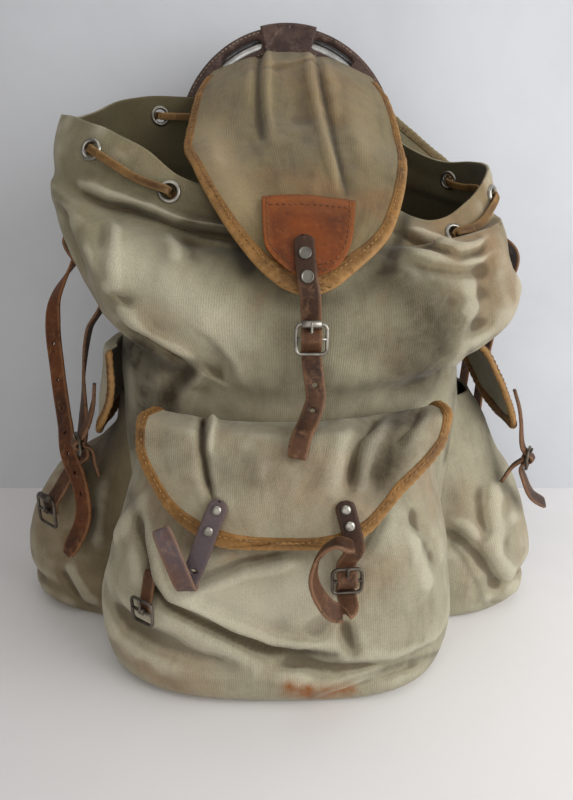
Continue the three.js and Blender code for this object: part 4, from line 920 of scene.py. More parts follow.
def makeBinding(sheet, node, fromRow, material, sides="both", toRow=0):
    grid = sheet["grid"]
    normals = gridNormals(grid)
    r, c, spots = edgeRun(grid, fromRow, sides, toRow)
    inward = edgeInward(grid, r, c)
    slow, quick = (np.sin(spots / long) for long in binding["wanderLong"])
    pucker = binding["pucker"] * np.sin(2 * np.pi * spots / binding["puckerLong"])
    pucker = pucker + binding["wander"] * slow * quick
    widest = bindingSection[0][0]
    rings = []
    for reach, lift in bindingSection:
        at, out = onEdge(grid, normals, r, c, inward, reach)
        puffed = np.sign(lift) * pucker * smooth(widest, binding["puckerFrom"], reach)
        rings.append(at + out * (lift + puffed)[:, None])
    name = sheet["name"] + "Binding" + ("" if sides == "both" else sides.title())
    edge = np.tile([smooth(*binding["worn"], reach) for reach, lift in bindingSection], (len(r), 1))
    piece = sweepMesh(name, np.stack(rings, 1), values=dict(edge=edge))
    at, out = onEdge(grid, normals, r, c, inward, binding["sewnAt"])
    for face in (1, -1):
        sewAlong("bindingThread", at + face * out * binding["sewnLift"], face * out)
    return place(piece, node, "trim", material)


print("sheets ready")


# straps: a band of leather along a few knots, with round edges and punched holes

leather = 2.4  # thickness
gap = 0.35  # clearance between layers
wire = 1.5  # radius


def heading(turn):
    turn = np.radians(turn)
    return np.stack([np.cos(turn), np.sin(turn), 0 * turn], -1)


def smoothPath(knots, shares, closed=False):
    knots = np.asarray(knots, float)
    count = len(knots)
    spans = count if closed else count - 1
    where = np.asarray(shares, float) * spans
    i = np.clip(np.floor(where).astype(int), 0, spans - 1)
    t = (where - i)[:, None]
    if closed:
        p0, p1, p2, p3 = (knots[(i + k) % count] for k in (-1, 0, 1, 2))
    else:
        ends = np.concatenate([[2 * knots[0] - knots[1]], knots, [2 * knots[-1] - knots[-2]]])
        p0, p1, p2, p3 = (ends[i + k] for k in range(4))
    d0, d1, d2 = (np.maximum(np.linalg.norm(b - a, axis=1, keepdims=True), 1e-4) ** 0.5
                  for a, b in ((p0, p1), (p1, p2), (p2, p3)))
    start = ((p1 - p0) / d0 - (p2 - p0) / (d0 + d1) + (p2 - p1) / d1) * d1
    stop = ((p2 - p1) / d1 - (p3 - p1) / (d1 + d2) + (p3 - p2) / d2) * d1
    return p1 + hermite(t, start, p2 - p1, stop)


def strapSpots(knots, shares):
    knots = np.asarray(knots, float)
    at = smoothPath(knots[:, :3], shares)
    ahead = smoothPath(knots[:, :3], np.clip(np.asarray(shares) + 1e-3, 0, 1))
    behind = smoothPath(knots[:, :3], np.clip(np.asarray(shares) - 1e-3, 0, 1))
    run = unit(ahead - behind)
    columns = rowAt(dict(turn=knots[:, 3], width=knots[:, 4]), np.asarray(shares) * (len(knots) - 1))
    side = heading(columns["turn"])
    side = unit(side - run * (side * run).sum(-1, keepdims=True))
    return at, run, side, unit(np.cross(run, side)), columns["width"]


band = dict(
    edge=0.7, curl=0.35, flat=2.2,  # rounded edges, bent back a little
    guides=240, spacing=1.7, topLong=5, oilFade=14, wander=0.3)


def bandSection(half, thick):
    e = min(band["edge"], thick * 0.45)
    middle = np.linspace(-half + band["flat"], half - band["flat"], 4)
    across = np.concatenate([[-half, -half + e * 0.35, -half + e], middle,
                             [half - e, half - e * 0.35, half]])
    upper = [(x, thick / 2 - e * max(0, (abs(x) - half + e) / e) ** 2) for x in across]
    return np.array(upper + [(x, -y) for x, y in upper[::-1]])


# what a rounded end takes off the width, at a distance from that end
def roundedEnd(left, long, narrowest):
    return (1 - narrowest) * (1 - np.sqrt(np.clip(1 - (1 - np.clip(left / long, 0, 1)) ** 2, 0, 1)))


def makeBand(name, node, knots, material, holes=(), tip=1.0, tipLong=9.0, top=1.0, oiledTo=0.0):
    guides = np.linspace(0, 1, band["guides"])
    walked, spots = evenly(strapSpots(knots, guides)[0], band["spacing"])
    at, _, side, face, width = strapSpots(knots, np.interp(spots, walked, guides))
    narrow = 1 - roundedEnd(walked[-1] - spots, tipLong, tip) - roundedEnd(spots, band["topLong"], top)
    wander = band["wander"] * (0.25 * np.sin(spots / 11 + len(name)) + 0.2 * np.sin(spots / 5.3))
    rings = []
    edges = []
    for k in range(len(at)):
        half = width[k] * narrow[k] / 2
        section = bandSection(half, leather)
        dish = band["curl"] * (section[:, :1] / (width[k] / 2)) ** 2
        rings.append(at[k] + section[:, :1] * side[k] + (section[:, 1:] - dish + wander[k]) * face[k])
        edges.append(smooth(0.72, 1.0, np.abs(section[:, 0]) / half))
    oiled = np.repeat(smooth(oiledTo, oiledTo - band["oilFade"], spots)[:, None], np.shape(edges)[1], 1)
    piece = sweepMesh(name, np.stack(rings), values=dict(edge=np.stack(edges), oiled=oiled))
    if len(holes):
        punchHoles(piece, knots, holes)
    return place(piece, node, "strap", material)


hole = dict(radius=1.75, sides=16, reach=6)


def punchHoles(piece, knots, holes):
    at, run, side, face, _ = strapSpots(knots, np.asarray(holes))
    turns = np.linspace(0, 2 * np.pi, hole["sides"], endpoint=False)
    rods = []
    for k in range(len(at)):
        ring = at[k] + hole["radius"] * (np.cos(turns)[:, None] * run[k] + np.sin(turns)[:, None] * side[k])
        rods.append(np.stack([ring - hole["reach"] * face[k], ring + hole["reach"] * face[k]]))
    cutWith(piece, rods)


def cutWith(piece, shapes):
    cutter = joinPieces(piece.name + "Cut", [sweepMesh("cut", rings) for rings in shapes])
    cut = piece.modifiers.new("cut", "BOOLEAN")
    cut.object = cutter
    cut.operation = "DIFFERENCE"
    cut.solver = "EXACT"
    applyModifiers(piece)
    bpy.data.objects.remove(cutter, do_unlink=True)


def applyModifiers(piece):
    graph = bpy.context.evaluated_depsgraph_get()
    graph.update()
    shaped = piece.evaluated_get(graph)
    made = bpy.data.meshes.new_from_object(shaped, preserve_all_data_layers=True, depsgraph=graph)
    piece.modifiers.clear()
    piece.data = made


# buckles: a bent wire ring with a middle bar and a prong, and a roller on the large ones

barClear = wire + 3 * gap + leather / 2
tabClear = wire + gap + leather / 2


def seatPoint(seat, across, rise, out):
    side = heading(np.array(float(seat["turn"])))
    up = np.array([0, 0, 1.0])
    face = np.cross(side, up)
    return np.array([seat["x"], seat["y"], seat["z"]]) + across * side + rise * up + out * face


def rodRings(path, radius, sides=12, closed=False):
    path = np.asarray(path, float)
    run = unit((np.roll(path, -1, 0) - np.roll(path, 1, 0)) if closed else np.gradient(path, axis=0))
    lift = np.cross(run[0], [0.3, 0.5, 0.81])
    turns = np.linspace(0, 2 * np.pi, sides, endpoint=False)
    radius = np.broadcast_to(radius, len(path))
    rings = []
    for k in range(len(path)):
        lift = lift - run[k] * (lift @ run[k])
        lift = lift / np.linalg.norm(lift)
        other = np.cross(run[k], lift)
        rings.append(path[k] + radius[k] * (np.cos(turns)[:, None] * lift + np.sin(turns)[:, None] * other))
    return np.stack(rings)


def joinPieces(name, pieces):
    points, faces, base = [], [], 0
    for piece in pieces:
        mesh = piece.data
        local = np.zeros(len(mesh.vertices) * 3)
        mesh.vertices.foreach_get("co", local)
        points.append(local.reshape(-1, 3) * 1000 - shift)
        faces += [[v + base for v in face.vertices] for face in mesh.polygons]
        base += len(mesh.vertices)
        bpy.data.objects.remove(piece, do_unlink=True)
    return addMesh(name, np.concatenate(points), faces)


# an oblong with round corners
def roundSection(inner, outer, half, corner, steps):
    points = []
    for a, b, start in ((outer - corner, half - corner, 0), (inner + corner, half - corner, 90),
                        (inner + corner, corner - half, 180), (outer - corner, corner - half, 270)):
        for turn in np.radians(np.linspace(start, start + 90, steps)):
            points.append((a + corner * np.cos(turn), b + corner * np.sin(turn)))
    return points


buckle = dict(
    corner=3.2, ring=0.74, bar=0.72, past=1.0, short=3.4,
    prong=((0, 1.2, 1.15), (0.25, 1.1, 1.0), (0.6, 1.0, 0.95), (0.9, 1.35, 0.9),  # rise, out, radius
           (1.0, 1.5, 0.8), (1.05, 1.4, 0.45)),
    curl=((-1.9, 1.5), (-1.7, 2.0), (0, 2.1), (1.7, 2.0), (1.9, 1.5)),  # across, radius
    sleeve=((-1, 1.9), (-0.97, 2.5), (0, 2.5), (0.97, 2.5), (1, 1.9)))


def makeBuckle(name, node, seat, material, roller=False):
    half, reach = seat["width"] / 2 + 2 * wire, seat["reach"]
    outline = roundSection(-half, half, reach, buckle["corner"], 7)
    ring = [seatPoint(seat, across, rise, 0) for across, rise in outline]
    bar = [seatPoint(seat, share * half, 0, 0) for share in np.linspace(-1, 1, 5)]
    prong = [seatPoint(seat, 0, rise * (reach + buckle["past"]), out * wire)
             for rise, out, _ in buckle["prong"]]
    curl = [seatPoint(seat, across, 0, 0) for across, _ in buckle["curl"]]
    sleeve = [seatPoint(seat, share * (half - buckle["short"]), reach, 0) for share, _ in buckle["sleeve"]]
    thick = {part: [row[-1] for row in buckle[part]] for part in ("prong", "curl", "sleeve")}
    parts = [sweepMesh("ring", rodRings(ring, wire * buckle["ring"], 12, True), True),
             sweepMesh("bar", rodRings(bar, wire * buckle["bar"])),
             sweepMesh("prong", rodRings(prong, thick["prong"])),
             sweepMesh("curl", rodRings(curl, thick["curl"]))]
    if roller:
        parts.append(sweepMesh("sleeve", rodRings(sleeve, thick["sleeve"], 18)))
    return place(joinPieces(name, parts), node, "steel", material)


# knots of a strap under the ring, over the bar and under the ring again
def weave(seat):
    rows = []
    for rise in (seat["reach"], 0, -seat["reach"]):
        out = -barClear if rise else barClear
        rows.append((*seatPoint(seat, 0, rise, out), seat["turn"], seat["width"]))
    return rows


tab = dict(rises=(-2, 1), narrower=2, tip=0.85, tipLong=3)


# a short strap from behind the bar to where it is sewn on
def makeTab(name, node, seat, rest, material):
    away = np.sign(rest[0][2] - seat["z"])
    held = [seatPoint(seat, 0, away * rise, -tabClear) for rise in tab["rises"]]
    knots = [(*point, seat["turn"], seat["width"] - tab["narrower"]) for point in (*held, *rest)]
    return makeBand(name, node, knots, material, tip=tab["tip"], tipLong=tab["tipLong"])


def lathe(at, axis, profile, sides=24):
    axis = axis / np.linalg.norm(axis)
    one = unit(np.cross(axis, [0.31, 0.52, 0.8]))
    two = np.cross(axis, one)
    turns = np.linspace(0, 2 * np.pi, sides, endpoint=False)
    ring = np.cos(turns)[:, None] * one + np.sin(turns)[:, None] * two
    return np.stack([at + radius * ring + rise * axis for radius, rise in profile])


rivetLift = 0.2
domedHead = (  # radius and rise, as shares of the rivet's radius
    (0.92, -0.25), (1.0, 0.0), (0.97, 0.16), (0.86, 0.3), (0.66, 0.42), (0.4, 0.49), (0.12, 0.52))
flatHead = (
    (0.94, -0.25), (1.0, 0.0), (0.98, 0.14), (0.9, 0.24), (0.8, 0.25), (0.72, 0.17), (0.66, 0.15),
    (0.3, 0.17), (0.1, 0.18))


def makeRivet(name, node, knots, share, radius, profile, material):
    at, _, _, face, _ = (part[0] for part in strapSpots(knots, np.array([share])))
    seat = at + face * (leather / 2 + rivetLift)
    piece = sweepMesh(name, lathe(seat, face, [(r * radius, h * radius) for r, h in profile]))
    return place(piece, node, "steel", material)


onCloth = flapCloth / 2 + 2 * gap + leather / 2
onPatch = onCloth + leather + 1.5 * gap
hemThick = 2.05
onHem = onCloth + hemThick + 2 * gap
onBinding = onCloth + hemThick + 1.6 * gap


def flatKnots(points, width):
    return [(*point, 0, width) for point in points]


# the first knot lies on the cloth, the next ones over the hem
def onFrontFlap(*spots):
    return [lifted(frontFlapAt, x, row, onHem if k else onCloth) for k, (x, row) in enumerate(spots)]


def pouchLift(pocket, angle, rowPlace, lift):
    across = pouchPoint(pocket, angle + 1, rowPlace) - pouchPoint(pocket, angle - 1, rowPlace)
    up = pouchPoint(pocket, angle, rowPlace + 0.05) - pouchPoint(pocket, angle, rowPlace - 0.05)
    return pouchPoint(pocket, angle, rowPlace) + unit(np.cross(across, up)) * lift


def seatAt(point, turn, width, reach):
    return dict(x=point[0], y=point[1], z=point[2], turn=turn, width=width, reach=reach)


flapStrap = dict(
    seat=dict(x=15, y=-119.6, z=240, turn=0, width=12.5, reach=9), holes=(0.66, 0.78),
    rivets=(0.06, 0.15), rivet=4, oiledTo=34,
    start=((10, 4.25, 0), (11, 4.9, 0), (12.5, 5.6, 1), (13.5, 6, 3)),  # side step, row, gaps under it
    end=((17, -116.5, 214), (18, -118, 203), (14, -126, 192), (9, -138, 185), (6, -147, 175)),
    tab=((15, -112.6, 231), (16, -109, 218), (16, -103, 210)))
flapHeld = [lifted(topFlapAt, x, row, onPatch + gaps * gap) for x, row, gaps in flapStrap["start"]]
flapStrap["knots"] = [
    *flatKnots(flapHeld, 12.5), *weave(flapStrap["seat"]), *flatKnots(flapStrap["end"], 12.5)]
leftStrap = dict(
    knots=flatKnots([*onFrontFlap((-38, 3.85), (-43, 4.35), (-48, 4.95)),
                     (-54, -158, 111), (-58, -158.5, 102), (-59, -162, 97.5), (-60, -165.5, 102),
                     (-66, -165, 120), (-73, -161, 137)], 12),
    seat=seatAt(pouchLift(frontPocket, -42, 3.85, 6.2), -34, 12, 8), holes=(0.42,),
    rivets=(0.05, 0.16), rivet=3, oiledTo=62,
    tab=[pouchLift(frontPocket, -42, rowPlace, 1.9) for rowPlace in (4.2, 4.6)])
rightStrap = dict(
    seat=seatAt(pouchLift(frontPocket, 18, 4.8, 9.6), 6, 12, 8), holes=(),
    rivets=(0.03, 0.085), rivet=3, oiledTo=34,
    tab=[pouchLift(frontPocket, 18, rowPlace, 1.8) for rowPlace in (4.6, 4.3)])
rightStrap["knots"] = [
    *flatKnots(onFrontFlap((33, 3.85), (36, 4.35), (39, 5)), 12), *weave(rightStrap["seat"]),
    (37, -165, 86, 14, 12), (28, -170, 87, 40, 12), (19, -172, 99, 62, 12), (15, -173, 113, 70, 12),
    (19, -172, 127, 72, 12), (28, -172, 134, 70, 12), (38, -171, 131, 64, 12)]
sideStraps = dict(
    left=dict(
        seat=dict(x=-155, y=-55, z=149, turn=-60, width=11, reach=7), flap=leftFlap,
        start=((30, 2.3, -74), (32, 2.9, -70)), end=((-150, -60, 137, -54, 11),),
        tab=((-147.8, -50.5, 143.5), (-145, -53, 133), (-142, -55, 123))),
    right=dict(
        seat=dict(x=185, y=-45, z=134, turn=62, width=11, reach=7), flap=rightFlap,
        start=((-30, 2.6, 74), (-30, 3.1, 71), (-30, 3.6, 68)),
        end=((184, -47, 116, 58, 11), (193, -42, 102, 57, 11), (208, -32, 90, 56, 11)),
        tab=((175.5, -42, 126), (166, -47, 115))))
shoulder = dict(  # knots: place, turn, width
    left=dict(
        strap=((-46, 131.5, 424, 180, 30), (-72, 133.6, 398, 182, 30), (-104, 132.5, 366, 195, 28),
               (-138, 112, 332, 218, 24), (-167, 78, 304, 245, 20), (-182, 46, 290, 262, 17),
               (-152, 28, 247, 268, 16), (-163, 18, 222, 272, 16), (-166, 4, 190, 285, 16),
               (-163, -14, 163, 300, 16), (-161, -36, 139, 310, 16), (-172, -51, 114, 318, 16)),
        seat=dict(x=-181, y=-62, z=98, turn=320, width=17, reach=11),
        billet=((-181, 52, 276, 268, 15), (-195, 38, 247, 318, 15), (-197, 30, 226, 338, 15),
                (-188, 6, 184, 330, 15), (-176, -22, 155, 322, 15), (-166, -46, 137, 326, 15),
                (-154, -62.5, 119, 330, 15), (-152, -69, 95, 332, 15), (-166, -71, 66, 328, 15))),
    right=dict(
        strap=((46, 131.5, 424, 180, 30), (72, 133.6, 398, 178, 30), (104, 132.5, 366, 165, 28),
               (140, 114, 332, 142, 24), (176, 88, 302, 115, 20), (199, 66, 280, 96, 17),
               (193, 74, 240, 95, 16), (188, 82, 190, 97, 16), (186, 86, 140, 98, 16), (186, 88, 98, 98, 16)),
        seat=dict(x=189.5, y=88, z=84, turn=98, width=17, reach=11),
        billet=((194.4, 68.4, 266, 95.6, 15), (192.6, 71, 254, 95.4, 15), (185, 84, 230, 98, 15),
                (178, 97, 196, 100, 15), (175, 103, 140, 100, 15), (176, 104, 82, 100, 15))))
billetHoles = np.linspace(0.3, 0.78, 7)


def makeStraps(look):
    for name, strap, kind, tag in (("flapStrap", flapStrap, "flap", ""),
                                   ("pocketStrapLeft", leftStrap, "pocket", "_left"),
                                   ("pocketStrapRight", rightStrap, "pocket", "_right")):
        hide = look["faded" if strap is leftStrap else "strap"]
        ring, stud, head = ("iron", "nickel", domedHead) if tag else ("nickel", "dull", flatHead)
        makeBand(name, f"{kind}_strap{tag}", strap["knots"], hide, strap["holes"],
                 tip=0.8, top=0.35, oiledTo=strap["oiledTo"])
        makeBuckle(name + "Buckle", f"{kind}_buckle{tag}", strap["seat"], look[ring], not tag)
        makeTab(name + "Tab", f"{kind}_buckle_tab{tag}", strap["seat"], strap["tab"], look["strap"])
        for share, level in zip(strap["rivets"], ("upper", "lower")):
            makeRivet(name + "Rivet" + level.title(), f"{kind}_rivet{tag}_{level}", strap["knots"], share,
                      strap["rivet"], head, look[stud])
    for side, strap in sideStraps.items():
        seat, flap, title = strap["seat"], strap["flap"], side.title()
        held = [(*lifted(flap["at"], x, row, onBinding), turn, seat["width"])
                for x, row, turn in strap["start"]]
        knots = [*held, *weave(seat), *strap["end"]]
        makeBand("sideStrap" + title, f"side_strap_{side}", knots, look["strap"], tip=0.8)
        makeBuckle("sideBuckle" + title, f"side_buckle_{side}", seat, look["iron"])
        makeTab("sideBuckleTab" + title, f"side_buckle_tab_{side}", seat, strap["tab"], look["strap"])
    for side, strap in shoulder.items():
        seat, title = strap["seat"], side.title()
        held = [(*seatPoint(seat, 0, rise, -barClear), seat["turn"], width)
                for rise, width in ((4, 16), (-2, 15))]
        makeBand("shoulderStrap" + title, f"shoulder_strap_{side}", [*strap["strap"], *held], look["strap"])
        makeBuckle("strapBuckle" + title, f"strap_buckle_{side}", seat, look["iron"], True)
        makeBand("billet" + title, f"billet_{side}", strap["billet"], look["billet"], billetHoles, 0.5, 14)


# collar: metal eyelets and the thong laced through them

def bagSpot(angle, rowPlace):
    angles = bagAngles()
    full = np.concatenate([angles, [angles[0] + 360]])
    turn = (np.asarray(angle, float) + 180) % 360 - 180
    c = np.interp(turn, full, np.arange(len(full)))
    r = np.interp(rowPlace, bagPlaces, np.arange(len(bagPlaces)))
    return r, c


def wallAt(angle, rowPlace):
    r, c = bagSpot(np.atleast_1d(angle), np.atleast_1d(rowPlace))
    at = sampleGrid(bagGrid, r, c, True)[0]
    facing = unit(sampleGrid(blur(gridNormals(bagGrid, True), 4, True), r, c, True))[0]
    ahead = sampleGrid(bagGrid, r, c + 1.5, True)[0] - sampleGrid(bagGrid, r, c - 1.5, True)[0]
    return dict(at=at - facing * bag["wall"] / 2, facing=facing, ahead=unit(ahead))


def eyeletSeats():
    seats = []
    for angle in bag["eyeletAngles"]:
        places = np.linspace(bagLast, bagLast - 2.5, 120)
        away = np.linalg.norm(bagPoint(angle, places) - bagPoint(angle, bagLast), axis=-1)
        rowPlace = places[np.argmax(away >= bag["eyeletBelow"])]
        seats.append(dict(wallAt(angle, rowPlace), angle=angle, place=rowPlace))
    return seats


eyeletHalf = ((5.2, -1.6), (5.6, -2.3), (6.8, -2.4), (7.9, -1.6), (8.0, -0.9))
eyeletProfile = (*eyeletHalf, *mirrored(eyeletHalf), (4.9, 0.6), (4.9, -0.6))  # radius, rise


def makeEyelets(look):
    seats = eyeletSeats()
    for i, seat in enumerate(seats):
        rings = lathe(seat["at"], seat["facing"], eyeletProfile, 32)
        piece = sweepMesh(f"eyelet{i + 1:02d}", rings, True)
        place(piece, f"eyelet_{i + 1:02d}", "steel", look["nickel"])
    return seats


thong = dict(
    lift=5.2, liftInside=7.6, through=4.0, lean=0.5, width=5.6, thick=2.0, steps=620,
    droop=((0.3, 3), (0.5, 4.2), (0.7, 3)))  # share of the span, drop


def throughEyelet(seat, away, lean):
    return seat["at"] + away * thong["through"] * seat["facing"] + lean * seat["ahead"]


def makeThong(look, seats):
    knots, faces = [], []
    for i, seat in enumerate(seats):
        following = seats[(i + 1) % len(seats)]
        outside = i % 2 == 1
        away = 1 if outside else -1
        span = (following["angle"] - seat["angle"]) % -360
        knots.append(throughEyelet(seat, away, -thong["lean"]))
        faces.append(seat["facing"])
        for share, drop in thong["droop"]:
            rowPlace = seat["place"] + (following["place"] - seat["place"]) * share
            wall = wallAt(seat["angle"] + span * share, rowPlace)
            spot = wall["at"] + away * (thong["lift"] if outside else thong["liftInside"]) * wall["facing"]
            knots.append(spot - np.array([0, 0, drop if outside else 0]))
            faces.append(wall["facing"])
        knots.append(throughEyelet(following, away, thong["lean"]))
        faces.append(following["facing"])
    shares = np.linspace(0, 1, thong["steps"], endpoint=False)
    path = smoothPath(knots, shares, True)
    face = unit(smoothPath(faces, shares, True))
    run = unit(np.roll(path, -1, 0) - np.roll(path, 1, 0))
    face = unit(face - run * (face * run).sum(-1, keepdims=True))
    side = np.cross(run, face)
    section = bandSection(thong["width"] / 2, thong["thick"])
    rings = path[:, None] + section[None, :, :1] * side[:, None] + section[None, :, 1:] * face[:, None]
    edge = np.tile(smooth(0.6, 1, np.abs(section[:, 0]) / (thong["width"] / 2)), (len(path), 1))
    piece = sweepMesh("drawcord", rings, True, dict(edge=edge))
    return place(piece, "drawcord", "trim", look["thong"])


# frame: a steel tube bent into an arch, with a sewn leather yoke round it

arch = dict(y=122, z=371, radius=86)
foot = dict(half=104, corner=30, bow=14)
tube = 5.0
yoke = dict(
    inner=77, outer=99, half=7, reach=66, corner=2.6, sewnIn=2.6, sewnShort=2, threadLift=0.1,
    slotInner=83, slotOuter=93, slotFrom=14, slotTo=40, slotDeep=14)
loop = dict(start=-13, stop=15, skin=1.8, corner=3.4)


def archPoint(radius, depth, turn):
    across, rise = radius * np.sin(turn), radius * np.cos(turn)
    return np.stack([across, arch["y"] + depth + 0 * turn, arch["z"] + rise], -1)


def framePath():
    path = [archPoint(arch["radius"], 0, turn) for turn in np.radians(np.linspace(-90, 90, 61))]
    reach = foot["half"] - foot["corner"]
    corner = [(foot["half"] - foot["corner"] * (1 - np.cos(t)), arch["y"],
               tube + foot["corner"] * (1 - np.sin(t))) for t in np.radians(np.linspace(0, 90, 13))]
    upright = [(arch["radius"] + (foot["half"] - arch["radius"]) * s, arch["y"],
                arch["z"] + (tube + foot["corner"] - arch["z"]) * s) for s in np.linspace(0, 1, 24)[1:-1]]
    bar = [(s * reach, arch["y"] + foot["bow"] * (1 - s * s), tube) for s in np.linspace(1, -1, 30)[1:-1]]
    path += upright + corner + bar
    path += [(-x, y, z) for x, y, z in corner[::-1]] + [(-x, y, z) for x, y, z in upright[::-1]]
    return np.array(path)


def archRings(section, start, stop, steps):
    radius, depth = np.asarray(section).T
    return np.stack([archPoint(radius, depth, turn) for turn in np.radians(np.linspace(start, stop, steps))])


# a cut through the yoke with round ends
def slotRings(sign):
    middle = (yoke["slotInner"] + yoke["slotOuter"]) / 2
    depth = np.array([-1, -1, 1, 1]) * yoke["slotDeep"]
    rings = []
    for t in np.linspace(0, 1, 22):
        turn = np.radians(sign * (yoke["slotFrom"] + t * (yoke["slotTo"] - yoke["slotFrom"])))
        bulge = np.sqrt(max(1 - (2 * t - 1) ** 8, 0.02))
        wide = (yoke["slotOuter"] - yoke["slotInner"]) / 2 * bulge
        rings.append(archPoint(middle + wide * np.array([-1, 1, 1, -1]), depth, turn))
    return np.stack(rings)


def makeFrame(look):
    piece = sweepMesh("frameTube", rodRings(framePath(), tube, 20, True), True)
    place(piece, "frame_tube", "steel", look["tube"])
    section = roundSection(yoke["inner"], yoke["outer"], yoke["half"], yoke["corner"], 5)
    piece = sweepMesh("yoke", archRings(section, -yoke["reach"], yoke["reach"], 90))
    for sign in (-1, 1):
        cutWith(piece, [slotRings(sign)])
    place(piece, "yoke", "strap", look["yoke"])
    sewnTo = yoke["reach"] - yoke["sewnShort"]
    turns = np.radians(np.linspace(-sewnTo, sewnTo, 120))
    for radius in (yoke["inner"] + yoke["sewnIn"], yoke["outer"] - yoke["sewnIn"]):
        for face in (-1, 1):
            run = archPoint(radius, face * (yoke["half"] + yoke["threadLift"]), turns)
            sewAlong("yokeThread", run, np.tile([0.0, face, 0.0], (len(run), 1)))
    grow = gap + loop["skin"]
    section = roundSection(yoke["inner"] - grow, yoke["outer"] + grow, yoke["half"] + grow, loop["corner"], 5)
    piece = sweepMesh("archLoop", archRings(section, loop["start"], loop["stop"], 24))
    place(piece, "arch_loop", "strap", look["yoke"])


# patch: a piece of leather sewn on the flap under its strap

patch = dict(
    rows=table("row left right", dict(
        top=(3.6, 15, 42), middle=(4.35, 13, 38), low=(4.95, 2, 30), tip=(5.3, -5, 21))),
    steps=60, columns=60, roundEnd=8, roundRows=1.4, wornEdge=8, sewnAt=3.2, sewnRow=4, threadLift=0.15)


def wornEdge(count):
    share = np.linspace(0, 1, count)
    return 1 - np.clip(np.minimum(share, 1 - share) * patch["wornEdge"], 0, 1)


def makePatch(look):
    places = np.linspace(lastRow(patch["rows"]), 0, patch["steps"])[:, None]
    row = rowAt(patch["rows"], places)
    inset = roundInset(patch, places)
    left, right = -row["left"] + inset, row["right"] - inset
    x = left + (right - left) * np.linspace(0, 1, patch["columns"])[None, :]
    grid = lifted(topFlapAt, x, np.broadcast_to(row["row"], x.shape), onCloth)
    grid = drawFolds(grid, topFlap["strokes"])
    edge = np.maximum(wornEdge(patch["columns"])[None, :], wornEdge(patch["steps"])[:, None])
    piece = clothPiece("flapPatch", grid, leather, "flap_patch", "trim", dict(edge=edge), inside=False)
    piece.data.materials.append(look["patch"])
    normals = gridNormals(grid)
    lift = leather / 2 + patch["threadLift"]
    r, c, _ = edgeRun(grid, patch["steps"] - 1.0)
    at, out = onEdge(grid, normals, r, c, edgeInward(grid, r, c), patch["sewnAt"])
    sewAlong("patchThread", at + out * lift, out)
    c = np.linspace(patch["sewnRow"], patch["columns"] - patch["sewnRow"] - 1, 60)
    r = np.full(len(c), patch["steps"] - float(patch["sewnRow"]))
    out = unit(sampleGrid(normals, r, c))
    sewAlong("patchThread", sampleGrid(grid, r, c) + out * lift, out)


print("hardware ready")


# node helpers

def put(tree, kind, inputs=None, **settings):
    made = tree.nodes.new(kind)
    for name, value in settings.items():
        setattr(made, name, value)
    for name, value in (inputs or {}).items():
        socket = made.inputs[name]
        if isinstance(value, tuple) and len(value) == 2 and hasattr(value[0], "outputs"):
            tree.links.new(value[0].outputs[value[1]], socket)
        else:
            socket.default_value = value
    return made


def mathNode(tree, operation, a, b=0.0, c=0.0, clamp=False):
    return put(tree, "ShaderNodeMath", {0: a, 1: b, 2: c}, operation=operation, use_clamp=clamp), "Value"


def rampNode(tree, value, low, high):
    return put(tree, "ShaderNodeMapRange", {"Value": value, "From Min": low, "From Max": high},
               interpolation_type="SMOOTHSTEP", clamp=True), "Result"


def spreadNode(tree, value, low, high):
    return put(tree, "ShaderNodeMapRange", {"Value": value, "To Min": low, "To Max": high}), "Result"


def noiseNode(tree, vector, scale, detail, rough=0.5, distortion=0.0):
    return put(tree, "ShaderNodeTexNoise", {"Vector": vector, "Scale": scale, "Detail": detail,
                                            "Roughness": rough, "Distortion": distortion})


def attributeNode(tree, name):
    return put(tree, "ShaderNodeAttribute", attribute_name=name), "Fac"


def mixColor(tree, share, first, second, blend="MIX"):
    return put(tree, "ShaderNodeMix", {0: share, 6: first, 7: second}, data_type="RGBA", blend_type=blend,
               clamp_factor=True), 2


# lays a tone over the base where the mask says, at a strength
def overlay(tree, base, mask, strength, tone):
    return mixColor(tree, mathNode(tree, "MULTIPLY", mask, strength, clamp=True), base, tone)


def feed(tree, source, node, socket):
    tree.links.new(source[0].outputs[source[1]], node.inputs[socket])


def colour(red, green, blue):  # a screen colour as the shader takes it
    def linear(v):
        v = v / 255
        return v / 12.92 if v <= 0.04045 else ((v + 0.055) / 1.055) ** 2.4
    return (linear(red), linear(green), linear(blue), 1.0)


# a group of numbers in, with their defaults, and numbers out
def newGroup(name, inputs, outputs):
    group = bpy.data.node_groups.new(name, "ShaderNodeTree")
    for label, value in inputs.items():
        socket = group.interface.new_socket(label, in_out="INPUT", socket_type="NodeSocketFloat")
        socket.default_value = value
    for label in outputs:
        group.interface.new_socket(label, in_out="OUTPUT", socket_type="NodeSocketFloat")
    return group, group.nodes.new("NodeGroupInput"), group.nodes.new("NodeGroupOutput")


# blotches over the object, with a soft edge
def blotchGroup():
    group, start, end = newGroup("blotches", dict(Size=20.0, Low=0.4, High=0.6, Seed=0.0), ["Mask"])
    where = put(group, "ShaderNodeTexCoord")
    noise = put(group, "ShaderNodeTexNoise",
                {"Vector": (where, "Object"), "Scale": (start, "Size"), "W": (start, "Seed"),
                 "Detail": 6.0, "Roughness": 0.62, "Distortion": 0.4}, noise_dimensions="4D")
    feed(group, rampNode(group, (noise, "Fac"), (start, "Low"), (start, "High")), end, "Mask")
    return group


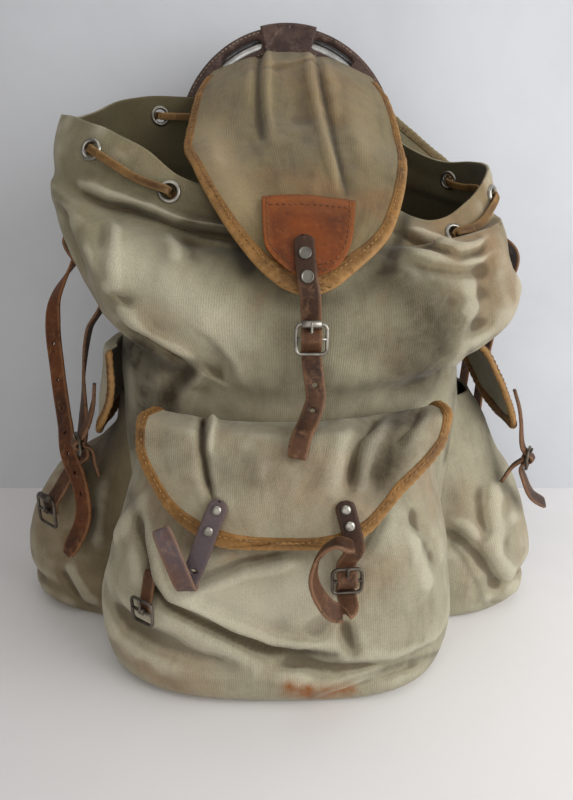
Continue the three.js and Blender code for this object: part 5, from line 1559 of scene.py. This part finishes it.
# warp and weft in the cloth's own measure
def weaveGroup():
    group, start, end = newGroup("weave", dict(Threads=900.0), ["Height", "Tone"])
    where = put(group, "ShaderNodeTexCoord")
    uneven = noiseNode(group, (where, "Object"), 260.0, 2.0)
    sway = put(group, "ShaderNodeVectorMath", {0: (uneven, "Color"), 1: (0.0007, 0.0007, 0.0)},
               operation="MULTIPLY")
    uv = put(group, "ShaderNodeVectorMath", {0: (where, "UV"), 1: (sway, "Vector")}, operation="ADD")
    parts = put(group, "ShaderNodeSeparateXYZ", {"Vector": (uv, "Vector")})
    waves = []
    for axis in ("X", "Y"):
        phase = mathNode(group, "MULTIPLY", (parts, axis), (start, "Threads"))
        waves.append(mathNode(group, "SINE", mathNode(group, "MULTIPLY", phase, 6.2832)))
    ribs = mathNode(group, "MULTIPLY", waves[0], 0.9)
    both = mathNode(group, "MULTIPLY_ADD", waves[0], waves[1], ribs)
    slub = noiseNode(group, (where, "Object"), 900.0, 2.0)
    for label, share in (("Height", 0.4), ("Tone", 0.06)):
        feed(group, mathNode(group, "MULTIPLY_ADD", both, share, (slub, "Fac")), end, label)
    return group


# what the folds gather and lose: grime and painted shade in hollows, pale wear on ridges
def foldGroup():
    group, start, end = newGroup("foldShadeAndWear", dict(Breakup=0.5), ["Hollow", "Ridge"])
    where = put(group, "ShaderNodeTexCoord")
    noise = noiseNode(group, (where, "Object"), 60.0, 5.0)
    swing = mathNode(group, "SUBTRACT", (noise, "Fac"), 0.5)
    value = mathNode(group, "MULTIPLY_ADD", swing, (start, "Breakup"), attributeNode(group, "fold"))
    feed(group, rampNode(group, value, -0.12, -0.9), end, "Hollow")
    feed(group, rampNode(group, value, 0.12, 0.9), end, "Ridge")
    return group


# grain of leather: fine cells and long creases
def grainGroup():
    group, start, end = newGroup("grain", dict(Scale=900.0), ["Height", "Crack"])
    where = put(group, "ShaderNodeTexCoord")
    cells = put(group, "ShaderNodeTexVoronoi", {"Vector": (where, "Object"), "Scale": (start, "Scale")},
                feature="F1")
    creases = noiseNode(group, (where, "Object"), 160.0, 6.0, 0.7, 1.2)
    feed(group, mathNode(group, "MULTIPLY_ADD", (creases, "Fac"), 1.6, (cells, "Distance")), end, "Height")
    feed(group, rampNode(group, (creases, "Fac"), 0.46, 0.36), end, "Crack")
    return group


groups = dict(blotch=blotchGroup(), weave=weaveGroup(), fold=foldGroup(), grain=grainGroup())


def useGroup(tree, name, **values):
    return put(tree, "ShaderNodeGroup", values, node_tree=groups[name])


def newMaterial(name):
    material = bpy.data.materials.new(name)
    material.use_nodes = True
    tree = material.node_tree
    return material, tree, tree.nodes["Principled BSDF"]


def setInputs(shader, values):
    for name, value in values.items():
        shader.inputs[name].default_value = value


def addBump(tree, shader, height, strength, distance):
    bump = put(tree, "ShaderNodeBump", {"Height": height, "Strength": strength, "Distance": distance})
    feed(tree, (bump, "Normal"), shader, "Normal")
    return bump


canvasLook = dict(  # the canvas is paler low down and darker higher up; its dark tones also paint shade, its pale tone paints light
    lowGreen=(156, 149, 125), lowTan=(152, 133, 107), green=(124, 117, 91), tan=(134, 111, 81),
    dirtAndShade=(84, 70, 50), shadeAndSmudge=(62, 53, 38), pale=(206, 199, 176), rust=(144, 84, 28),
    rough=0.95, sheen=0.12, threads=780.0, fromZ=0.16, toZ=0.34,
    mottle=0.24, streaks=0.22, worn=0.4, hollowShadeAndGrime=0.75, specks=0.25, paintedLight=-0.7)
flapLook = dict(
    canvasLook, lowGreen=(122, 109, 79), lowTan=(130, 105, 73), green=(120, 107, 76), tan=(124, 97, 64),
    pale=(164, 144, 108), mottle=0.34, streaks=0.5)
# inside of the canvas painted dark, as shade deep in the bag and pockets
shadedInsideLook = dict(
    canvasLook, lowGreen=(62, 54, 38), lowTan=(66, 54, 36), green=(84, 77, 55), tan=(84, 70, 48),
    pale=(110, 100, 74))
# a browner, darker copy of the canvas for the left pocket, painted shade on the side away from the light
brownShadedLook = dict(canvasLook, lowGreen=(126, 112, 86), lowTan=(128, 106, 77))


def canvasMaterial(name, cloth):
    material, tree, shader = newMaterial(name)
    tones = {key: colour(*value) for key, value in cloth.items() if isinstance(value, tuple)}
    wide = useGroup(tree, "blotch", Size=9.0, Low=0.47, High=0.68, Seed=1.0)
    small = useGroup(tree, "blotch", Size=48.0, Low=0.40, High=0.72, Seed=4.0)
    specks = useGroup(tree, "blotch", Size=170.0, Low=0.62, High=0.74, Seed=7.0)
    threads = useGroup(tree, "weave", Threads=cloth["threads"])
    fold = useGroup(tree, "fold", Breakup=0.55)
    where = put(tree, "ShaderNodeTexCoord")
    parts = put(tree, "ShaderNodeSeparateXYZ", {"Vector": (where, "Object")})
    upper = rampNode(tree, (parts, "Z"), cloth["fromZ"], cloth["toZ"])
    green = mixColor(tree, upper, tones["lowGreen"], tones["green"])
    tan = mixColor(tree, upper, tones["lowTan"], tones["tan"])
    base = mixColor(tree, (wide, "Mask"), green, tan)
    base = overlay(tree, base, (small, "Mask"), cloth["mottle"], tones["dirtAndShade"])
    warp = put(tree, "ShaderNodeVectorMath", {0: (where, "UV"), 1: (130.0, 22.0, 1.0)}, operation="MULTIPLY")
    streak = noiseNode(tree, (warp, "Vector"), 1.0, 5.0, 0.6)
    base = overlay(tree, base, rampNode(tree, (streak, "Fac"), 0.46, 0.72), cloth["streaks"], tones["dirtAndShade"])
    base = overlay(tree, base, (fold, "Ridge"), cloth["worn"], tones["pale"])
    # painted shade and grime in the hollows of the folds
    base = overlay(tree, base, (fold, "Hollow"), cloth["hollowShadeAndGrime"], tones["dirtAndShade"])
    base = overlay(tree, base, (specks, "Mask"), cloth["specks"], tones["dirtAndShade"])
    # the marks lay painted shade and grime in the dark tone, and painted light in the pale tone
    stain = attributeNode(tree, "stain")
    base = overlay(tree, base, stain, spreadNode(tree, (small, "Mask"), 0.54, 0.8), tones["shadeAndSmudge"])
    base = overlay(tree, base, stain, cloth["paintedLight"], tones["pale"])
    ragged = mathNode(tree, "MULTIPLY_ADD", (small, "Mask"), 0.9, 0.45)
    base = overlay(tree, base, attributeNode(tree, "rust"), ragged, tones["rust"])
    toned = spreadNode(tree, rampNode(tree, (threads, "Tone"), 0.3, 0.7), 0.92, 1.07)
    feed(tree, mixColor(tree, 1.0, base, toned, "MULTIPLY"), shader, "Base Color")
    setInputs(shader, {"Roughness": cloth["rough"], "Sheen Weight": cloth["sheen"], "Sheen Roughness": 0.5,
                       "Specular IOR Level": 0.2})
    fine = addBump(tree, shader, (threads, "Height"), 0.45, 0.0004)
    crinkle = noiseNode(tree, (where, "Object"), 46.0, 2.0)
    addBump(tree, fine, (crinkle, "Fac"), 0.4, 0.004)
    return material


leatherLook = dict(grain=900.0, rubbed=0.45, edge=0.6, oiled=0.7)
hides = dict(  # dark, body and pale tones, roughness, cracks
    binding=((88, 60, 30), (140, 100, 52), (174, 134, 84), 0.6, 0.45),
    tape=((92, 78, 52), (124, 108, 77), (154, 138, 106), 0.7, 0.3),
    patch=((78, 38, 13), (116, 56, 17), (146, 84, 38), 0.5, 0.5),
    strap=((42, 26, 18), (88, 58, 38), (140, 104, 76), 0.5, 0.7),
    billet=((52, 28, 14), (104, 60, 32), (148, 104, 68), 0.5, 0.6),
    yoke=((48, 34, 30), (88, 68, 60), (138, 116, 104), 0.45, 0.6),
    faded=((82, 72, 76), (92, 62, 44), (140, 108, 84), 0.45, 0.5),
    thong=((70, 46, 22), (122, 90, 50), (158, 126, 84), 0.6, 0.4))


def leatherMaterial(name, dark, body, pale, rough, cracks):
    material, tree, shader = newMaterial(name)
    wide = useGroup(tree, "blotch", Size=30.0, Low=0.35, High=0.68, Seed=11.0)
    fine = useGroup(tree, "blotch", Size=140.0, Low=0.5, High=0.72, Seed=13.0)
    grainy = useGroup(tree, "grain", Scale=leatherLook["grain"])
    base = mixColor(tree, (wide, "Mask"), body, dark)
    base = overlay(tree, base, (fine, "Mask"), leatherLook["rubbed"], pale)
    base = overlay(tree, base, attributeNode(tree, "edge"), leatherLook["edge"], pale)
    base = overlay(tree, base, (grainy, "Crack"), cracks, dark)
    base = overlay(tree, base, attributeNode(tree, "oiled"), leatherLook["oiled"], dark)
    feed(tree, base, shader, "Base Color")
    feed(tree, spreadNode(tree, (wide, "Mask"), rough + 0.12, rough - 0.08), shader, "Roughness")
    setInputs(shader, {"Specular IOR Level": 0.22})
    addBump(tree, shader, (grainy, "Height"), 0.45, 0.0004)
    return material


metals = dict(  # bright, dull and rusty tones, roughness, rust
    nickel=((176, 172, 162), (112, 106, 96), (84, 58, 38), 0.32, 0.5),
    dull=((124, 120, 112), (92, 88, 80), (84, 58, 38), 0.4, 0.2),
    iron=((120, 112, 102), (72, 64, 56), (66, 44, 30), 0.42, 0.7),
    tube=((190, 190, 188), (140, 138, 134), (110, 78, 54), 0.3, 0.35))


def metalMaterial(name, bright, dull, rust, rough, rusty):
    material, tree, shader = newMaterial(name)
    spots = useGroup(tree, "blotch", Size=120.0, Low=0.6 - 0.1 * rusty, High=0.74, Seed=21.0)
    film = useGroup(tree, "blotch", Size=60.0, Low=0.35, High=0.7, Seed=23.0)
    base = mixColor(tree, (film, "Mask"), bright, dull)
    share = mathNode(tree, "MULTIPLY", (spots, "Mask"), rusty)
    feed(tree, mixColor(tree, share, base, rust), shader, "Base Color")
    feed(tree, spreadNode(tree, share, 1.0, 0.2), shader, "Metallic")
    feed(tree, spreadNode(tree, (film, "Mask"), rough, rough + 0.2), shader, "Roughness")
    addBump(tree, shader, (film, "Mask"), 0.12, 0.0003)
    return material


threadTones = dict(  # slot, clean and dirty tones
    bindingThread=("trim", (152, 116, 68), (98, 68, 36)),
    yokeThread=("strap", (150, 132, 112), (96, 78, 62)),
    patchThread=("trim", (120, 74, 36), (72, 42, 20)))


def threadMaterial(name, clean, dirty):
    material, tree, shader = newMaterial(name)
    grime = useGroup(tree, "blotch", Size=70.0, Low=0.4, High=0.65, Seed=31.0)
    feed(tree, mixColor(tree, (grime, "Mask"), clean, dirty), shader, "Base Color")
    setInputs(shader, {"Roughness": 0.8})
    return material


def stageMaterial(name, first, second, seeThrough):
    material, tree, shader = newMaterial(name)
    cloud = useGroup(tree, "blotch", Size=2.0, Low=0.3, High=0.7, Seed=41.0)
    feed(tree, mixColor(tree, (cloud, "Mask"), first, second), shader, "Base Color")
    setInputs(shader, {"Roughness": 0.7, "Specular IOR Level": 0.2})
    if seeThrough:
        facing = put(tree, "ShaderNodeNewGeometry")
        clear = put(tree, "ShaderNodeBsdfTransparent")
        mixed = put(tree, "ShaderNodeMixShader", {0: (facing, "Backfacing"), 1: (shader, "BSDF"),
                                                  2: (clear, "BSDF")})
        feed(tree, (mixed, "Shader"), tree.nodes["Material Output"], "Surface")
    return material


look = dict(
    canvas=canvasMaterial("oldCanvas", canvasLook),
    brown=canvasMaterial("brownCanvas", flapLook),
    shadedInside=canvasMaterial("canvasInsideShaded", shadedInsideLook),
    brownShaded=canvasMaterial("brownShadedCanvas", brownShadedLook))
for name, (*tones, rough, cracks) in hides.items():
    look[name] = leatherMaterial(name + "Leather", *(colour(*tone) for tone in tones), rough, cracks)
for name, (*tones, rough, rusty) in metals.items():
    look[name] = metalMaterial(name + "Metal", *(colour(*tone) for tone in tones), rough, rusty)

print("materials ready")


# stage: a pale floor, a pale backdrop and soft light from the right

stage = dict(
    far=2600.0, wallY=190.0, wallFoot=-5.0,
    floor=((234, 231, 229), (226, 223, 222)), wall=((204, 206, 209), (190, 190, 194)))


def makeStage():
    far, y, low = stage["far"], stage["wallY"], stage["wallFoot"]
    sheets = dict(
        floor=[(-far, -far, 0), (far, -far, 0), (far, far, 0), (-far, far, 0)],
        wall=[(-far, y, low), (far, y, low), (far, y, far), (-far, y, far)])
    for name, corners in sheets.items():
        board = addMesh(name, corners, [(0, 1, 2, 3)], smoothFaces=False)
        tones = (colour(*tone) for tone in stage[name])
        board.data.materials.append(stageMaterial(name + "Paint", *tones, name == "wall"))


lights = dict(  # place and aim in millimetres, size in metres, watts, colour
    window=((820, -520, 520), (0, 0, 190), 0.8, 9.2, (0.96, 0.98, 1.0)),
    room=((-160, -1050, 300), (0, 0, 150), 1.2, 4.8, (1.0, 0.97, 0.93)),
    ceiling=((-60, -300, 1350), (0, -60, 0), 1.2, 4.4, (1.0, 0.98, 0.96)))
sky = dict(tone=(0.95, 0.97, 1.0, 1.0), strength=0.17)


def makeLights():
    for name, (at, aim, size, watts, tone) in lights.items():
        data = bpy.data.lights.new(name, "AREA")
        data.size, data.energy, data.color = size, watts, tone
        lamp = bpy.data.objects.new(name, data)
        lamp.location = toMetres(at)
        away = np.array(at, float) - np.array(aim, float)
        tip = math.atan2(math.hypot(away[0], away[1]), away[2])
        lamp.rotation_euler = (tip, 0, math.atan2(away[0], -away[1]))
        scene.collection.objects.link(lamp)
    world = bpy.data.worlds.new("room")
    world.use_nodes = True
    setInputs(world.node_tree.nodes["Background"], {"Color": sky["tone"], "Strength": sky["strength"]})
    scene.world = world
    scene.view_settings.view_transform = "Standard"


# making

makeCamera()
makeStage()
makeLights()

body = makeBag()
body.data.materials.append(look["canvas"])
# inside faces take the dark inside canvas, painted shade
body.data.materials.append(look["shadedInside"])
for pocket in (frontPocket, leftPocket, rightPocket):
    piece = makePocket(pocket)
    # the left pocket takes the darker copy, painted shade
    piece.data.materials.append(look["brownShaded" if pocket is leftPocket else "canvas"])
    piece.data.materials.append(look["shadedInside"])
print("bag and pockets made")

flapPlan = (  # sheet, how it is held and on what, cloth, row where its binding starts
    (frontFlap, "draped", "front_pocket", "canvas", 0.6),
    (leftFlap, "draped", "side_pocket_left", "canvas", 0.9),
    (rightFlap, "draped", "side_pocket_right", "canvas", 0.9),
    (topFlap, "draped", "bag_body", "brown", 0.3))
for sheet, held, restsOn, cloth, _ in flapPlan:
    makeFlap(sheet).data.materials.append(look[cloth])
makeFlap(backPanel).data.materials.append(look["canvas"])
for sheet, _, _, _, boundFrom in flapPlan:
    fromRow = (1 - boundFrom / lastRow(sheet["rows"])) * (sheet["steps"] - 1)
    makeBinding(sheet, sheet["node"] + "_binding", fromRow, look["binding"])
for side in ("left", "right"):
    makeBinding(backPanel, f"back_panel_binding_{side}", backPanel["boundFrom"], look["tape"],
                side, backPanel["boundTo"])
print("flaps and bindings made")

makeStraps(look)
makeThong(look, makeEyelets(look))
makeFrame(look)
makePatch(look)
print("straps and hardware made")

for thread, (slot, clean, dirty) in threadTones.items():
    sewnMesh(thread, threadMaterial(thread, colour(*clean), colour(*dirty)), slot)
print("stitches made")
